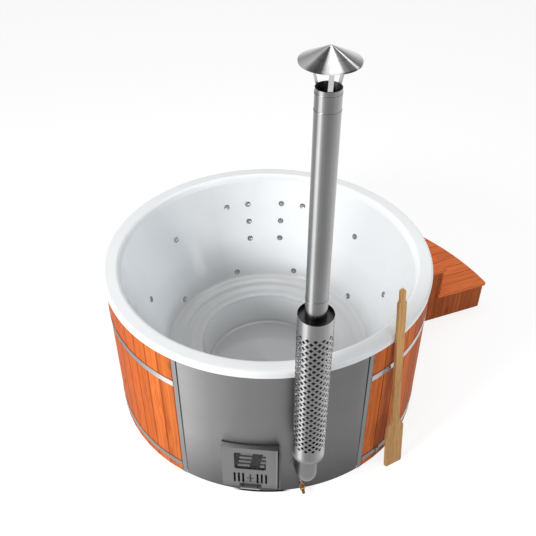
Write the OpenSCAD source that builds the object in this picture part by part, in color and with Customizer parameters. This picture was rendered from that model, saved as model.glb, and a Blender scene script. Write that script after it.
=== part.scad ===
/* [Tub] */
// Radius over the wooden cladding
tub_r = 1000; // [960:5:1060]
// Height of the rim's top above the ground
tub_h = 1032; // [980:1:1090]
// How far the liner's rim stands out over the cladding
rim_overhang = 6; // [3:0.5:20]
// Depth of the rim's outer lip
rim_drop = 42; // [30:1:70]
// Width of the rim from its outer lip to the wall of the bath
rim_w = 91; // [80:1:110]
// Rounding of the rim's outer edge
rim_round = 18; // [8:1:24]
// Thickness of the moulded liner
shell_t = 8; // [5:0.5:12]
/* [Basin] */
// Distance from the cladding to the bench's back edge
bench_set_in = 345; // [330:1:365]
// Height of the bench where it meets the wall
bench_h = 318; // [312:1:345]
// Width of the bench
bench_w = 208; // [195:1:225]
// How much lower the bench's lip is than its back
bench_fall = 18; // [8:1:24]
// Depth of the ripples across the seat
ripple_depth = 4; // [1:0.5:6]
// How far the riser leans back from its foot to the bench's lip
riser_lean = 45; // [30:1:55]
// Height of the bath's floor above the ground
floor_h = 80; // [76:1:92]
/* [Jets] */
// Radius of a jet's flange
jet_r = 20; // [16:0.5:24]
// Thickness of a jet's flange
jet_flange_t = 4; // [2:0.5:6]
// Radius of the hole through the liner for a jet
jet_hole_r = 14; // [10:0.5:15]
// Length of the jet body behind the liner
jet_body_l = 40; // [30:1:50]
// Radius of the air pipe that feeds the jets
manifold_r = 18; // [12:0.5:20]
// Height of the air pipe above the ground
manifold_z = 500; // [460:1:530]
/* [Cladding] */
// Thickness of a stave
stave_t = 28; // [20:1:34]
// Staves round the tub
stave_count = 52; // [44:1:60]
// Bevel along the outer edges of a stave
stave_bevel = 3; // [1:0.5:5]
// Height of a steel band
band_w = 40; // [25:1:60]
// Thickness of a steel band
band_t = 1.5; // [1:0.1:2]
// Height of the middle of the upper band
band_upper_z = 787; // [720:1:860]
// Height of the middle of the lower band
band_lower_z = 73; // [60:1:120]
/* [Steel panel] */
// Direction that the panel faces, from +X
panel_azimuth = -89.9; // [-92:0.1:-88]
// Half the panel's width as an angle
panel_half_angle = 31.2; // [29:0.1:33]
// Thickness of the panel's sheet
panel_t = 2; // [1.5:0.1:2.5]
// Width of the trim strip at each side of the panel
trim_w = 28; // [20:1:36]
// Height of the panel's lower edge above the ground
panel_lift = 6; // [2:1:20]
/* [Stove] */
// Direction of the stove's door, from +X
stove_azimuth = -97.45; // [-99:0.05:-96]
// Distance of the door's face from the tub's axis beyond the cladding
door_stand_off = 25.5; // [22:0.5:34]
// Width over the stove's front frame
hood_w = 327; // [315:1:335]
// Height of the hood's top
hood_z = 439; // [425:1:450]
// Height of the frame's lower edge
frame_z = 72; // [66:1:78]
// Sheet of the frame
frame_t = 3.5; // [2:0.5:5]
// Depth of the firebox behind the panel
firebox_depth = 375; // [320:5:385]
// Thickness of the firebox's water jacket
jacket_t = 30; // [20:1:36]
// Size of a grate bar
grate_bar = 12; // [8:0.5:16]
/* [Stove door] */
// Thickness of the door's plate
door_t = 4; // [3:0.5:6]
// Width of the window
window_w = 182; // [160:1:200]
// Height of the window
window_h = 148; // [120:1:155]
// Height of the window's middle
window_z = 317; // [312:1:322]
// Rounding of the window's corners
window_round = 14; // [4:1:30]
// Width of an air slot
slot_w = 13; // [8:0.5:15]
// Height of an air slot
slot_h = 88; // [60:1:92]
// Distance between two air slots
slot_pitch = 25; // [22:0.5:28]
// Height of the air slots' middle
slot_z = 161; // [158:1:164]
// Travel of the air slide to each side
slide_travel = 13; // [8:0.5:14]
// Height of the air slide's tab
tab_h = 60; // [40:1:70]
// Radius of the hinge pin
pin_r = 2.5; // [2:0.1:3]
/* [Ash drawer] */
// Width of the drawer's front
drawer_w = 128; // [110:1:140]
// Height of the drawer's front
drawer_h = 29; // [24:0.5:30]
// Depth of the drawer behind the door
drawer_l = 220; // [180:5:260]
// Sheet of the drawer
drawer_t = 2; // [1.5:0.1:3]
// Length of the drawer's bar handle
handle_l = 112; // [90:1:116]
// Thickness of the bar handle
handle_d = 9; // [6:0.5:11]
// Clear gap behind the bar handle
handle_gap = 18; // [14:0.5:26]
/* [Flue] */
// Direction of the chimney, from +X
flue_azimuth = -80.25; // [-81:0.05:-79]
// Radius of the flue pipe
flue_r = 52.5; // [48:0.5:56]
// Sheet of the flue pipe
flue_t = 1.5; // [1:0.1:2]
// Radius of the elbow's bend along its middle
bend_r = 90; // [80:1:100]
// Straight length of the elbow outside the panel
elbow_out = 18; // [12:1:40]
// Height of the elbow's horizontal part
elbow_z = 254; // [245:1:270]
// Height of the joint between the two pipes
joint_z = 1613; // [1560:1:1700]
// Height of the pipe's top
pipe_top_z = 2622; // [2500:1:2750]
/* [Flue guard] */
// Radius of the perforated guard
guard_r = 88; // [80:1:96]
// Sheet of the guard
guard_t = 2; // [1.5:0.1:2.5]
// Height of the guard's shoulder
guard_z = 498; // [450:1:520]
// Height of the guard's top
guard_top_z = 1515; // [1480:1:1545]
// Height of the lowest row of holes
perf_low_z = 606; // [600:1:630]
// Holes round the guard
perf_columns = 28; // [12:2:30]
// Holes up one column
perf_rows = 21; // [6:1:21]
// Side of a hole as a share of its place
perf_open_share = 0.6; // [0.4:0.01:0.7]
/* [Rain cap] */
// Radius of the cap's brim
cap_r = 116.5; // [100:0.5:130]
// Height of the brim above the pipe
cap_gap = 101; // [80:1:130]
// Height of the cone
cap_h = 56; // [40:1:70]
// Sheet of the cap
cap_t = 1.5; // [1:0.1:2.5]
// Width of a cap strap
strap_w = 19; // [12:1:24]
/* [Drain] */
// Radius of the drain pipe
drain_r = 14; // [12:0.5:15]
// Height of the drain pipe's middle
drain_z = 42; // [38:0.5:46]
// Distance of the floor drain from the riser's foot
drain_from_riser = 102; // [90:1:130]
// Radius of the outlet spigot
spigot_r = 10; // [8:0.5:12]
// Length of the outlet spigot
spigot_l = 25; // [18:1:40]
// How far the valve is rolled about its pipe
valve_roll = 21; // [0:1:35]
// Length of the valve's lever
lever_l = 100; // [70:1:110]
/* [Steps] */
// Direction of the steps' near end, from +X
steps_azimuth = 20; // [15:1:28]
// Angle that the steps span
steps_span = 35; // [28:1:40]
// Reach of the upper step beyond the cladding
step_upper_reach = 385; // [320:5:400]
// Reach of the lower step beyond the cladding
step_lower_reach = 770; // [720:5:820]
// Height of one step
step_rise = 244; // [220:1:260]
// Thickness of a tread board
tread_t = 28; // [20:1:34]
// Width of a board with its gap
board_pitch = 89; // [70:1:110]
// Gap between two boards
board_gap = 4; // [2:0.5:8]
/* [Paddle] */
// Direction of the paddle, from +X
paddle_azimuth = -47.7; // [-48.5:0.1:-46]
// Distance of the paddle's foot from the cladding
paddle_foot = 108; // [90:1:140]
// Turn of the paddle about its own length
paddle_turn = -15; // [-20:1:-5]
// Length of the paddle
paddle_l = 1347; // [1250:1:1450]
// Width of the blade
blade_w = 122; // [100:1:130]
// Length of the blade
blade_l = 320; // [260:1:380]
// Width of the handle
grip_w = 48; // [36:1:52]
// Thickness of the paddle
paddle_t = 20; // [14:1:24]

/* [Hidden] */
$fn = 96;

// Clearance between pieces that sit on each other
clear = 0.3;
// Running clearance of a pin in its bore, on the radius
run = 0.05;
// Overrun of a cut past the face that it opens
over = 4;
wood = "#b4592a";
wood_dark = "#8e4524";
steel = "#9da1a3";
dark = "#2c2d2f";

// Rim and wall of the bath
rim_r = tub_r + rim_overhang;
rim_low_z = tub_h - rim_drop;
wall_top_r = rim_r - rim_w;
bench_out_r = tub_r - bench_set_in;
bench_in_r = bench_out_r - bench_w;
foot_well_r = bench_in_r - riser_lean;
drain_at_r = foot_well_r - drain_from_riser;
wall_slope = (wall_top_r - bench_out_r) / (tub_h - bench_h);
wall_tilt = atan(wall_slope);
rim_inner_round = 26;
bench_round = 30;
lip_round = 16;
well_round = 22;
ripple_count = 2;
ripple_steps = 24;
ripple_from_share = 0.12;
ripple_to_share = 0.84;
bench_low_z = bench_h - bench_fall;
bench_run = bench_out_r - bench_in_r;

// Cladding and what stands behind it
trim_angle = 2 * asin(trim_w / 2 / tub_r);
stave_pitch = (360 - 2 * panel_half_angle - 2 * trim_angle) / stave_count;
panel_gap = 4;
gap_angle = 2 * asin(panel_gap / 2 / tub_r);
clad_from = panel_azimuth + panel_half_angle + trim_angle;
clad_span = 360 - 2 * panel_half_angle - 2 * trim_angle;
stave_face_x = tub_r * cos(stave_pitch / 2);
stave_back_x = stave_face_x - stave_t;
stave_gap = 0.4;
stave_foot = 3;
stave_top_z = rim_low_z - clear;
ring_t = 22;
ring_h = 60;
ring_r = stave_back_x - clear;
ring_middle_z = 560;
ring_low_z = 110;
post_count = 9;
post_w = 60;
post_t = 26;
post_x = ring_r * cos(asin(post_w / 2 / ring_r)) - ring_t - clear - post_t;
post_set_in = 2.2;

// Timber under the bath
joist_h = 45;
joist_w = 45;
joist_end_gap = 25;
joist_ring_r = post_x - joist_end_gap;
joist_outer_share = 0.691;
joist_inner_share = 0.368;
joist_to_drain = 14.3;
joist_to_firebox = 50;
joist_middle_x = drain_at_r * cos(flue_azimuth) - drain_r - joist_w / 2 - joist_to_drain;
joist_at = [-joist_outer_share * joist_ring_r, -joist_inner_share * joist_ring_r,
    joist_middle_x, joist_inner_share * joist_ring_r, joist_outer_share * joist_ring_r];
deck_board = 95;
deck_gap = 8;
deck_set_in = 30;
deck_r = foot_well_r - deck_set_in;
seat_post = 45;
seat_post_count = 8;
seat_post_turn = 360 / seat_post_count / 2;
seat_post_share = ripple_from_share + (ripple_to_share - ripple_from_share)
    / ripple_count / 2;
seat_post_r = bench_in_r + bench_run * seat_post_share;
tie_w = 50;
tie_gap = 6;
tie_y = seat_post_r * cos(seat_post_turn)
    + seat_post / 2 * (cos(seat_post_turn) + sin(seat_post_turn)) + tie_gap + tie_w / 2;

// Stove front, measured along the stove's own radius
door_x = tub_r + door_stand_off;
door_back_x = door_x - door_t;
door_seat_gap = 0.5;
frame_front_x = door_back_x - door_seat_gap;
frame_set_in = 25;
frame_back_x = tub_r - frame_set_in;
firebox_back_x = frame_back_x - firebox_depth;
firebox_step = 125;
chimney_back_x = firebox_back_x + firebox_step;
firebox_under_bench = 12;
bench_side_z = bench_low_z - firebox_under_bench;
door_over = 0.5;
door_half_w = hood_w / 2 + door_over;
door_to_hinge = 12;
door_foot_gap = 0.5;
door_head_gap = 1.5;
door_low_z = frame_z + frame_t + door_foot_gap;
door_top_z = hood_z - frame_t - door_head_gap;
hood_lip = 6;
hinge_x = door_back_x + door_t / 2;
hinge_out = 6.5;
hinge_y = hood_w / 2 + hinge_out;
door_right_y = hinge_y - door_to_hinge;
knuckle_r = 5.8;
leaf_t = 3.5;
knuckle_gap = 0.6;
knuckle_foot_l = 38;
knuckle_head_l = 34;
knuckle_head_gap = 14;
knuckle_low = [door_low_z, door_low_z + knuckle_foot_l];
knuckle_top = [door_top_z - knuckle_head_gap - knuckle_head_l, door_top_z - knuckle_head_gap];
knuckle_mid = [knuckle_low[1] + knuckle_gap, knuckle_top[0] - knuckle_gap];
slot_first_y = 42;
slot_per_side = 3;
scallop_count = 7;
scallop_r = slot_h / scallop_count * 0.62;
scallop_shift = 1.5;
lever_slot_h = 8;
lever_slot_w = 40;
tab_t = 4;
tab_w = 6;
tab_gap = 1;
slide_t = 3;
slide_gap = 0.2;
slide_x = door_back_x - slide_gap - slide_t;
slide_edge = 8;
slide_half_w = slot_first_y + (slot_per_side - 1) * slot_pitch + slot_w / 2 + slide_edge;
slide_rise = 6;
slide_low_z = slot_z - slot_h / 2 - slide_rise;
slide_top_z = slot_z + slot_h / 2 + slide_rise;
guide_t = 3.5;
guide_lip = 2.5;
guide_cover = 4;
glass_t = 4;
glass_edge = 11;
grille_t = 2;
grille_gap = 0.4;
slat_rows = 4;
slat_h = 15;
slat_t = 1.8;
slat_tilt = 14;
slat_lean_share = -0.165;
slat_field_share = 0.94;
bank_left_share = [-0.34, 0.03];
bank_right_share = [0.36, 0.49];
slat_end = 1.2;

// Ash drawer
notch_gap = 1;
tray_set_in = 4;
handle_end = 12;
runner_gap = 1;
runner_set_in = 2;
drawer_z = frame_z + frame_t + clear;
tray_h = 22;
tray_w = drawer_w - 2 * tray_set_in;
tray_front_x = door_back_x;
handle_z = drawer_z + drawer_h / 2;
runner_t = 3;
runner_h = 12;

// Firebox, grate and duct
cavity_x = firebox_back_x + jacket_t;
ledge_w = 12;
ledge_h = 10;
ledge_over_drawer = 4;
ledge_z = drawer_z + drawer_h + ledge_over_drawer;
grate_z = ledge_z + ledge_h + clear;
grate_pitch = 2 * grate_bar;
grate_l = 220;
grate_side_gap = 0.5;
feet_r = 15;
feet_in = 45;
duct_half_h = 63;
duct_low_z = elbow_z - duct_half_h;
duct_top_z = elbow_z + duct_half_h;
duct_t = 3;
duct_front_gap = 75;
duct_w = 130;
duct_x = [frame_back_x - duct_front_gap - duct_w, frame_back_x - duct_front_gap];
duct_end_y = 352;
port_half = [42, 36];

// Heater pipes and their grilles in the bath
heater_r = 21;
heater_t = 2.5;
port_over_bench = 78;
port_over_floor = 72;
port_upper_z = bench_h + port_over_bench;
port_lower_z = floor_h + port_over_floor;
port_grille_r = 34;
port_grille_t = 4;
port_hole_r = 4;
riser_slope = (bench_in_r - foot_well_r) / (bench_low_z - floor_h);

// Flue
flue_x = tub_r + elbow_out + bend_r;
stub_l = 118;
stub_x = flue_x - bend_r - stub_l;
collar_t = 1.8;
collar_h = 35;
collar_below = 12;
elbow_under_guard = 13;
elbow_top_z = guard_z - elbow_under_guard;
flange_r = 74;
flange_t = 2;
band_h = 14;
band_sheet = 1;
band_upper_drop = 25;
band_lower_drop = 92;
guard_seat = 5;
flange_seat = 2;
reducer_drop = 30;
reducer_neck = 14;
spacer_drop = 25;
spacer_t = 6;
perf_pitch = 4 * PI * guard_r / perf_columns;
perf_side = perf_pitch / sqrt(2) * perf_open_share;
perf_cut = 6;
strap_count = 3;
strap_azimuth = -130;
strap_t = 1.5;
strap_foot = 62;
strap_top_r = 82;
cap_seam_share = 0.6;
cap_step = 1.2;
cap_lip = 7;

// Jets: the lowest row's height, then pairs of places, each an angle from the back and a
// share of the wall over that row
jet_over_bench = 48;
jet_share_list = [[8.3, 0.704], [18.9, 0.704], [8.3, 0.524], [8.3, 0.341],
    [49.9, 0.584], [18.2, 0], [59.7, 0], [86, 0.386]];
nozzle_in = 6;
nozzle_r = jet_hole_r - nozzle_in;
ring_bevel = 2.5;
ring_land = 3;
nozzle_bore_share = 0.5;
jet_body_r = 21;
jet_tail = 8;
hose_r = 8;
hose_end_over = 2;
manifold_gap = 6;
manifold_half_angle = 88;
manifold_x = post_x - manifold_r - manifold_gap;
blower_azimuth = 54.5;
blower_r = 80;
blower_h = 62;
motor_r = 48;
motor_h = 85;
motor_neck = 24;
blower_boss = 10;
riser_share = 0.8;
blower_foot = 12;
blower_foot_r = 9;
blower_foot_in = 22;
blower_set_in = 60;
blower_x = manifold_x - blower_set_in;

// Drain valve
deck_slot = 6;
strainer_r = 30;
strainer_t = 3;
strainer_hole_r = 2.5;
valve_r = 13;
valve_out = 22;
valve_x = tub_r + valve_out;
nut_over = 2.5;
nut_w = 7;
hub_over = 4;
hub_rise = 2;
lever_gap = 2;
valve_half = 14;
stem_r = 4;
stem_l = 8;
lever_t = 3;
lever_w = 15;
lever_back = 9;
tail_wall = 2.5;

// Steps
steps_r = tub_r + band_t + clear;
upper_r = tub_r + step_upper_reach;
lower_r = tub_r + step_lower_reach;
tread_lip = 10;
riser_t = 16;
upper_apothem = upper_r - tread_lip - riser_t;
lower_apothem = lower_r - tread_lip - riser_t;
end_in = 12;
end_t = 18;
carrier_t = 35;
carrier_gap = 1;
carrier_back = 4;
carrier_in = end_in + end_t + clear;

// Paddle
grip_end_w = 31;
grip_end_l = 82;
shoulder_l = 88;
blade_t = 13;
paddle_edge_z = tub_h - rim_round;
paddle_reach = (paddle_t * cos(paddle_turn) + grip_w * abs(sin(paddle_turn))) / 2 + clear;
paddle_lean = atan((paddle_foot - rim_overhang - paddle_reach) / paddle_edge_z);
paddle_lift = (blade_t * cos(paddle_turn) + blade_w * abs(sin(paddle_turn))) / 2
    * sin(paddle_lean) + clear;

// Places that more than one piece needs
function wall_r(z) = bench_out_r + (z - bench_h) * wall_slope;
// Gap under a flat disc of radius r that lies on a hollow wall of radius R
function disc_gap(r, R) = clear + r * r / 2 / R;
function bench_z(r) = let (s = (r - bench_in_r) / bench_run)
    bench_low_z + bench_fall * s
    - ripple_depth * (1 - cos(360 * ripple_count * (s - ripple_from_share)
        / (ripple_to_share - ripple_from_share))) / 2;
function carrier_reach(r) = sqrt(r * r - pow(carrier_in + carrier_t, 2)) - clear;
function jet_sites() = let (low = bench_h + jet_over_bench)
    [for (p = jet_share_list) for (side = [-1, 1])
        [90 + side * p[0], low + p[1] * (tub_h - low)]];

// Round one corner v of a path that comes from p and goes on to q
function corner_arc(p, v, q, r, n = 8) = r == 0 ? [v] :
    let (a = (p - v) / norm(p - v), b = (q - v) / norm(q - v),
        half = acos(a * b) / 2,
        centre = v + (a + b) / norm(a + b) * r / sin(half),
        from = v + a * r / tan(half) - centre,
        to = v + b * r / tan(half) - centre,
        a0 = atan2(from[1], from[0]),
        turn = atan2(from[0] * to[1] - from[1] * to[0], from * to))
    [for (i = [0 : n]) centre + r * [cos(a0 + turn * i / n), sin(a0 + turn * i / n)]];
function rounded_path(c) = [for (i = [0 : len(c) - 1])
    let (v = [c[i][0], c[i][1]])
    each i == 0 || i == len(c) - 1 ? [v] :
        corner_arc([c[i - 1][0], c[i - 1][1]], v, [c[i + 1][0], c[i + 1][1]], c[i][2])];

// Shift a path to its right by t, keeping its walls parallel
function right_of(d) = [d[1], -d[0]] / norm(d);
function shifted_path(p, t) = [for (i = [0 : len(p) - 1])
    let (a = right_of(p[max(i, 1)] - p[max(i, 1) - 1]),
        b = right_of(p[min(i + 1, len(p) - 1)] - p[min(i, len(p) - 2)]),
        m = (a + b) / norm(a + b))
    p[i] + m * t / (m * a)];

module at_azimuth(a, r = 0, z = 0) rotate([0, 0, a]) translate([r, 0, z]) children();
module ring_arc(r_in, r_out, z, h, from, span)
    translate([0, 0, z]) rotate([0, 0, from])
        rotate_extrude(angle = span, $fn = 180)
            translate([r_in, 0]) square([r_out - r_in, h]);
module tube(r, t, h) difference() {
    cylinder(h = h, r = r);
    translate([0, 0, -over]) cylinder(h = h + 2 * over, r = r - t);
}
module block(x, y, z) translate([x[0], y[0], z[0]])
    cube([x[1] - x[0], y[1] - y[0], z[1] - z[0]]);
module rounded_rect(w, h, r) {
    square([w - 2 * r, h], center = true);
    square([w, h - 2 * r], center = true);
    for (x = [-1, 1]) for (y = [-1, 1])
        translate([x * (w / 2 - r), y * (h / 2 - r)]) circle(r);
}
// Upright plate seen along the stove's radius: a flat shape set up at height z
module upright(x, t, z) translate([x, 0, z]) rotate([90, 0, 90])
    linear_extrude(t) children();
// Frame on the wall of the bath, with +Z out into the water
module on_wall(a, z) at_azimuth(a, wall_r(z), z) rotate([0, wall_tilt - 90, 0]) children();
module on_riser(z) at_azimuth(stove_azimuth,
    foot_well_r + (z - floor_h) * riser_slope, z)
    rotate([0, atan(riser_slope) - 90, 0]) children();

module liner() {
    bench_path = [for (i = [0 : ripple_steps])
        let (s = ripple_from_share
            + (ripple_to_share - ripple_from_share) * i / ripple_steps,
            r = bench_in_r + bench_run * s)
        [r, bench_z(r), 0]];
    face = rounded_path(concat(
        [[0, floor_h, 0], [foot_well_r, floor_h, well_round],
            [bench_in_r, bench_low_z, lip_round]],
        bench_path,
        [[bench_out_r, bench_h, bench_round], [wall_top_r, tub_h, rim_inner_round],
            [rim_r, tub_h, rim_round], [rim_r, rim_low_z, 0]]));
    back = shifted_path(face, shell_t);
    color("white") difference() {
        rotate_extrude($fn = 180)
            polygon(concat(face, [for (i = [len(back) - 1 : -1 : 0]) back[i]]));
        for (s = jet_sites()) on_wall(s[0], s[1])
            cylinder(h = 4 * shell_t, r = jet_hole_r, center = true);
        on_wall(stove_azimuth, port_upper_z)
            cylinder(h = 4 * shell_t, r = heater_r + clear, center = true);
        on_riser(port_lower_z)
            cylinder(h = 4 * shell_t, r = heater_r + clear, center = true);
        at_azimuth(flue_azimuth, drain_at_r, floor_h)
            cylinder(h = 4 * shell_t, r = drain_r + clear, center = true);
    }
}

module base_joists() {
    color(wood_dark) linear_extrude(joist_h) for (x = joist_at)
        intersection() {
            circle(joist_ring_r, $fn = 180);
            translate([x - joist_w / 2,
                    x == joist_middle_x ? joist_to_firebox - firebox_back_x : -joist_ring_r])
                square([joist_w, 2 * joist_ring_r]);
        }
}

module drain_slot() rotate([0, 0, flue_azimuth])
    translate([drain_at_r - drain_r - deck_slot, -drain_r - deck_slot])
        square([tub_r, 2 * (drain_r + deck_slot)]);
module floor_deck() {
    count = ceil(deck_r / deck_board);
    color(wood_dark) translate([0, 0, joist_h])
        linear_extrude(floor_h - shell_t - joist_h) difference() {
            intersection() {
                circle(deck_r, $fn = 180);
                for (i = [-count : count - 1])
                    translate([-deck_r, i * deck_board + deck_gap / 2])
                        square([2 * deck_r, deck_board - deck_gap]);
            }
            drain_slot();
        }
    color(wood_dark) for (side = [-1, 1]) translate([0, 0, joist_h])
        linear_extrude(floor_h - shell_t - joist_h) difference() {
            translate([joist_at[0] - joist_w / 2, side * tie_y - tie_w / 2])
                square([2 * max(joist_at) + joist_w, tie_w]);
            drain_slot();
        }
}

module bench_posts() {
    top = bench_z(seat_post_r) - shell_t - clear;
    color(wood_dark) for (i = [0 : seat_post_count - 1])
        at_azimuth((2 * i + 1) * seat_post_turn, seat_post_r)
            translate([-seat_post / 2, -seat_post / 2])
                cube([seat_post, seat_post, top]);
}

module wall_posts() {
    color(wood_dark) for (i = [0 : post_count - 1])
        at_azimuth(clad_from + post_set_in
            + (clad_span - 2 * post_set_in) * i / (post_count - 1), post_x)
            translate([0, -post_w / 2])
                cube([post_t, post_w, tub_h - rim_drop - stave_foot]);
}

module backing_rings() {
    top_z = tub_h - shell_t - clear - ring_h;
    color(wood_dark) for (z = [ring_low_z, ring_middle_z, top_z])
        ring_arc(ring_r - ring_t, ring_r, z, ring_h, clad_from, clad_span);
}

module stave() {
    face_w = stave_face_x * tan(stave_pitch / 2) - stave_gap / 2;
    bevel_w = (stave_face_x - stave_bevel) * tan(stave_pitch / 2) - stave_gap / 2;
    back_w = stave_back_x * tan(stave_pitch / 2) - stave_gap / 2;
    translate([0, 0, stave_foot]) linear_extrude(stave_top_z - stave_foot)
        polygon([[stave_back_x, -back_w], [stave_face_x - stave_bevel, -bevel_w],
            [stave_face_x, stave_bevel - face_w], [stave_face_x, face_w - stave_bevel],
            [stave_face_x - stave_bevel, bevel_w], [stave_back_x, back_w]]);
}
module stave_run(from_share, to_share) {
    first = round(stave_count * from_share);
    last = round(stave_count * to_share) - 1;
    color(wood) for (i = [first : last])
        rotate([0, 0, clad_from + stave_pitch * (i + 0.5)]) stave();
}
module staves_right() stave_run(0, 1 / 3);
module staves_back() stave_run(1 / 3, 2 / 3);
module staves_left() stave_run(2 / 3, 1);

module panel_cut_outs() {
    at_azimuth(stove_azimuth) block([frame_back_x - over, door_x + over],
        [-hood_w / 2 - clear, hood_w / 2 + clear],
        [frame_z - clear, hood_z + clear]);
    at_azimuth(flue_azimuth, tub_r, elbow_z) rotate([0, 90, 0])
        cylinder(h = 4 * stave_t, r = flue_r + clear, center = true);
    at_azimuth(flue_azimuth, tub_r, drain_z) rotate([0, 90, 0])
        cylinder(h = 4 * stave_t, r = drain_r + clear, center = true);
}
module front_panel() {
    half = panel_half_angle - gap_angle;
    color(steel) difference() {
        ring_arc(tub_r - panel_t, tub_r, panel_lift, stave_top_z - panel_lift,
            panel_azimuth - half, 2 * half);
        panel_cut_outs();
    }
}
module panel_rails() {
    rail_r = tub_r - panel_t - clear;
    half = panel_half_angle - gap_angle;
    color(wood_dark) for (z = [ring_middle_z, tub_h - shell_t - clear - ring_h])
        ring_arc(rail_r - ring_t, rail_r, z, min(ring_h, stave_top_z - z),
            panel_azimuth - half, 2 * half);
}
module trim_strip(side) {
    leg_t = 3;
    face = 2;
    face_out = 1;
    leg_l = stave_t - face;
    at_azimuth(panel_azimuth + side * (panel_half_angle + trim_angle / 2))
        translate([0, 0, stave_foot]) linear_extrude(stave_top_z - stave_foot)
            for (part = [[tub_r - face, -trim_w / 2 + clear, face + face_out, trim_w - 2 * clear],
                    [tub_r - face - leg_l, -leg_t / 2, leg_l, leg_t]])
                translate([part[0], part[1]]) square([part[2], part[3]]);
}
module trim_left() color("silver") trim_strip(-1);
module trim_right() color("silver") trim_strip(1);

module band(z) color("silver")
    ring_arc(tub_r, tub_r + band_t, z - band_w / 2, band_w,
        clad_from + gap_angle, clad_span - 2 * gap_angle);
module band_upper() band(band_upper_z);
module band_lower() band(band_lower_z);
module band_locks() {
    lug_t = 3;
    lug_h = 9;
    lug_apart = 16;
    bolt_r = 2.6;
    head_r = 4.6;
    head_h = 3;
    bolt_x = 5.5;
    lock_angle = 7.4;
    color(steel) for (z = [band_upper_z, band_lower_z])
        at_azimuth(clad_from + lock_angle, tub_r + band_t + clear / 2, z) {
            for (side = [-1, 1]) translate([0, side * lug_apart / 2 - lug_t / 2])
                translate([0, 0, -band_w / 2])
                    cube([lug_h, lug_t, band_w]);
            translate([bolt_x, -lug_apart / 2 - lug_t / 2 - head_h])
                rotate([-90, 0, 0]) cylinder(h = lug_apart + lug_t + 2 * head_h, r = bolt_r);
            for (y = [-lug_apart / 2 - lug_t / 2 - head_h, lug_apart / 2 + lug_t / 2])
                translate([bolt_x, y]) rotate([-90, 0, 0])
                    cylinder(h = head_h, r = head_r, $fn = 6);
        }
}

module knuckle(span) translate([hinge_x, hinge_y, span[0]]) difference() {
    cylinder(h = span[1] - span[0], r = knuckle_r);
    translate([0, 0, -over]) cylinder(h = span[1] - span[0] + 2 * over, r = pin_r + run);
}
module stove_frame() {
    half = hood_w / 2;
    color(steel) at_azimuth(stove_azimuth) {
        difference() {
            union() {
                block([frame_back_x, frame_front_x], [-half, half], [frame_z, hood_z]);
                block([frame_front_x - over, door_x + hood_lip], [-half, half],
                    [hood_z - frame_t, hood_z]);
            }
            block([frame_back_x - over, door_x + hood_lip + over],
                [frame_t - half, half - frame_t],
                [frame_z + frame_t, hood_z - frame_t]);
        }
        for (span = [knuckle_low, knuckle_top]) difference() {
            union() {
                knuckle(span);
                block([hinge_x - knuckle_r, hinge_x - knuckle_r + leaf_t],
                    [half, hinge_y], span);
            }
            translate([hinge_x, hinge_y, span[0] - over])
                cylinder(h = span[1] - span[0] + 2 * over, r = pin_r + run);
        }
    }
}
module hinge_pin() {
    head_h = 2;
    color(steel) at_azimuth(stove_azimuth) translate([hinge_x, hinge_y]) {
        translate([0, 0, knuckle_low[0]])
            cylinder(h = knuckle_top[1] - knuckle_low[0], r = pin_r);
        translate([0, 0, knuckle_top[1]]) cylinder(h = head_h, r = knuckle_r - 1);
    }
}
module slot_places() for (side = [-1, 1]) for (i = [0 : slot_per_side - 1])
    translate([side * (slot_first_y + i * slot_pitch), 0]) children();
module furnace_door() {
    middle = (door_right_y - door_half_w) / 2;
    color(steel) at_azimuth(stove_azimuth) {
        difference() {
            upright(door_back_x, door_t, 0) difference() {
                translate([-door_half_w, door_low_z])
                    square([door_half_w + door_right_y, door_top_z - door_low_z]);
                translate([0, window_z]) rounded_rect(window_w, window_h, window_round);
                translate([0, slot_z]) slot_places()
                    square([slot_w, slot_h], center = true);
                translate([0, slot_z]) square([lever_slot_w, lever_slot_h], center = true);
                translate([-drawer_w / 2 - notch_gap, door_low_z - over])
                    square([drawer_w + 2 * notch_gap,
                        drawer_z + drawer_h + notch_gap + over - door_low_z]);
            }
        }
        difference() {
            union() {
                knuckle(knuckle_mid);
                block([door_x - leaf_t, door_x], [door_right_y, hinge_y], knuckle_mid);
            }
            translate([hinge_x, hinge_y, knuckle_mid[0] - over])
                cylinder(h = knuckle_mid[1] - knuckle_mid[0] + 2 * over, r = pin_r + run);
        }
    }
}
module window_glass() color([0.25, 0.27, 0.28, 0.6]) at_azimuth(stove_azimuth)
    upright(door_back_x - glass_t, glass_t, window_z)
        rounded_rect(window_w + 2 * glass_edge, window_h + 2 * glass_edge, window_round);
module window_grille() {
    plate_x = door_back_x - glass_t - grille_gap - grille_t - slat_h * sin(slat_tilt)
        - slat_t * cos(slat_tilt);
    row = window_h * slat_field_share / slat_rows;
    row_z = function (i) (i - (slat_rows - 1) / 2) * row;
    color(dark) at_azimuth(stove_azimuth) {
        difference() {
            upright(plate_x, grille_t, window_z)
                rounded_rect(window_w + 2 * glass_edge, window_h + 2 * glass_edge,
                    window_round);
            for (bank = [bank_left_share, bank_right_share])
                for (i = [0 : slat_rows - 1])
                    translate([plate_x - over, 0, window_z + row_z(i) - slat_h / 4])
                        block([0, grille_t + 2 * over],
                            bank * window_w - [1, 1] * slat_lean_share * row_z(i),
                            [0, slat_h / 2]);
        }
        for (bank = [bank_left_share, bank_right_share]) for (i = [0 : slat_rows - 1])
            translate([plate_x + grille_t, 0, window_z + row_z(i) + slat_h / 2])
                rotate([0, -slat_tilt, 0]) block([-grille_t / 2, slat_t],
                    bank * window_w - [1, 1] * slat_lean_share * row_z(i)
                        + [-slat_end, slat_end],
                    [-slat_h, 0]);
    }
}
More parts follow.
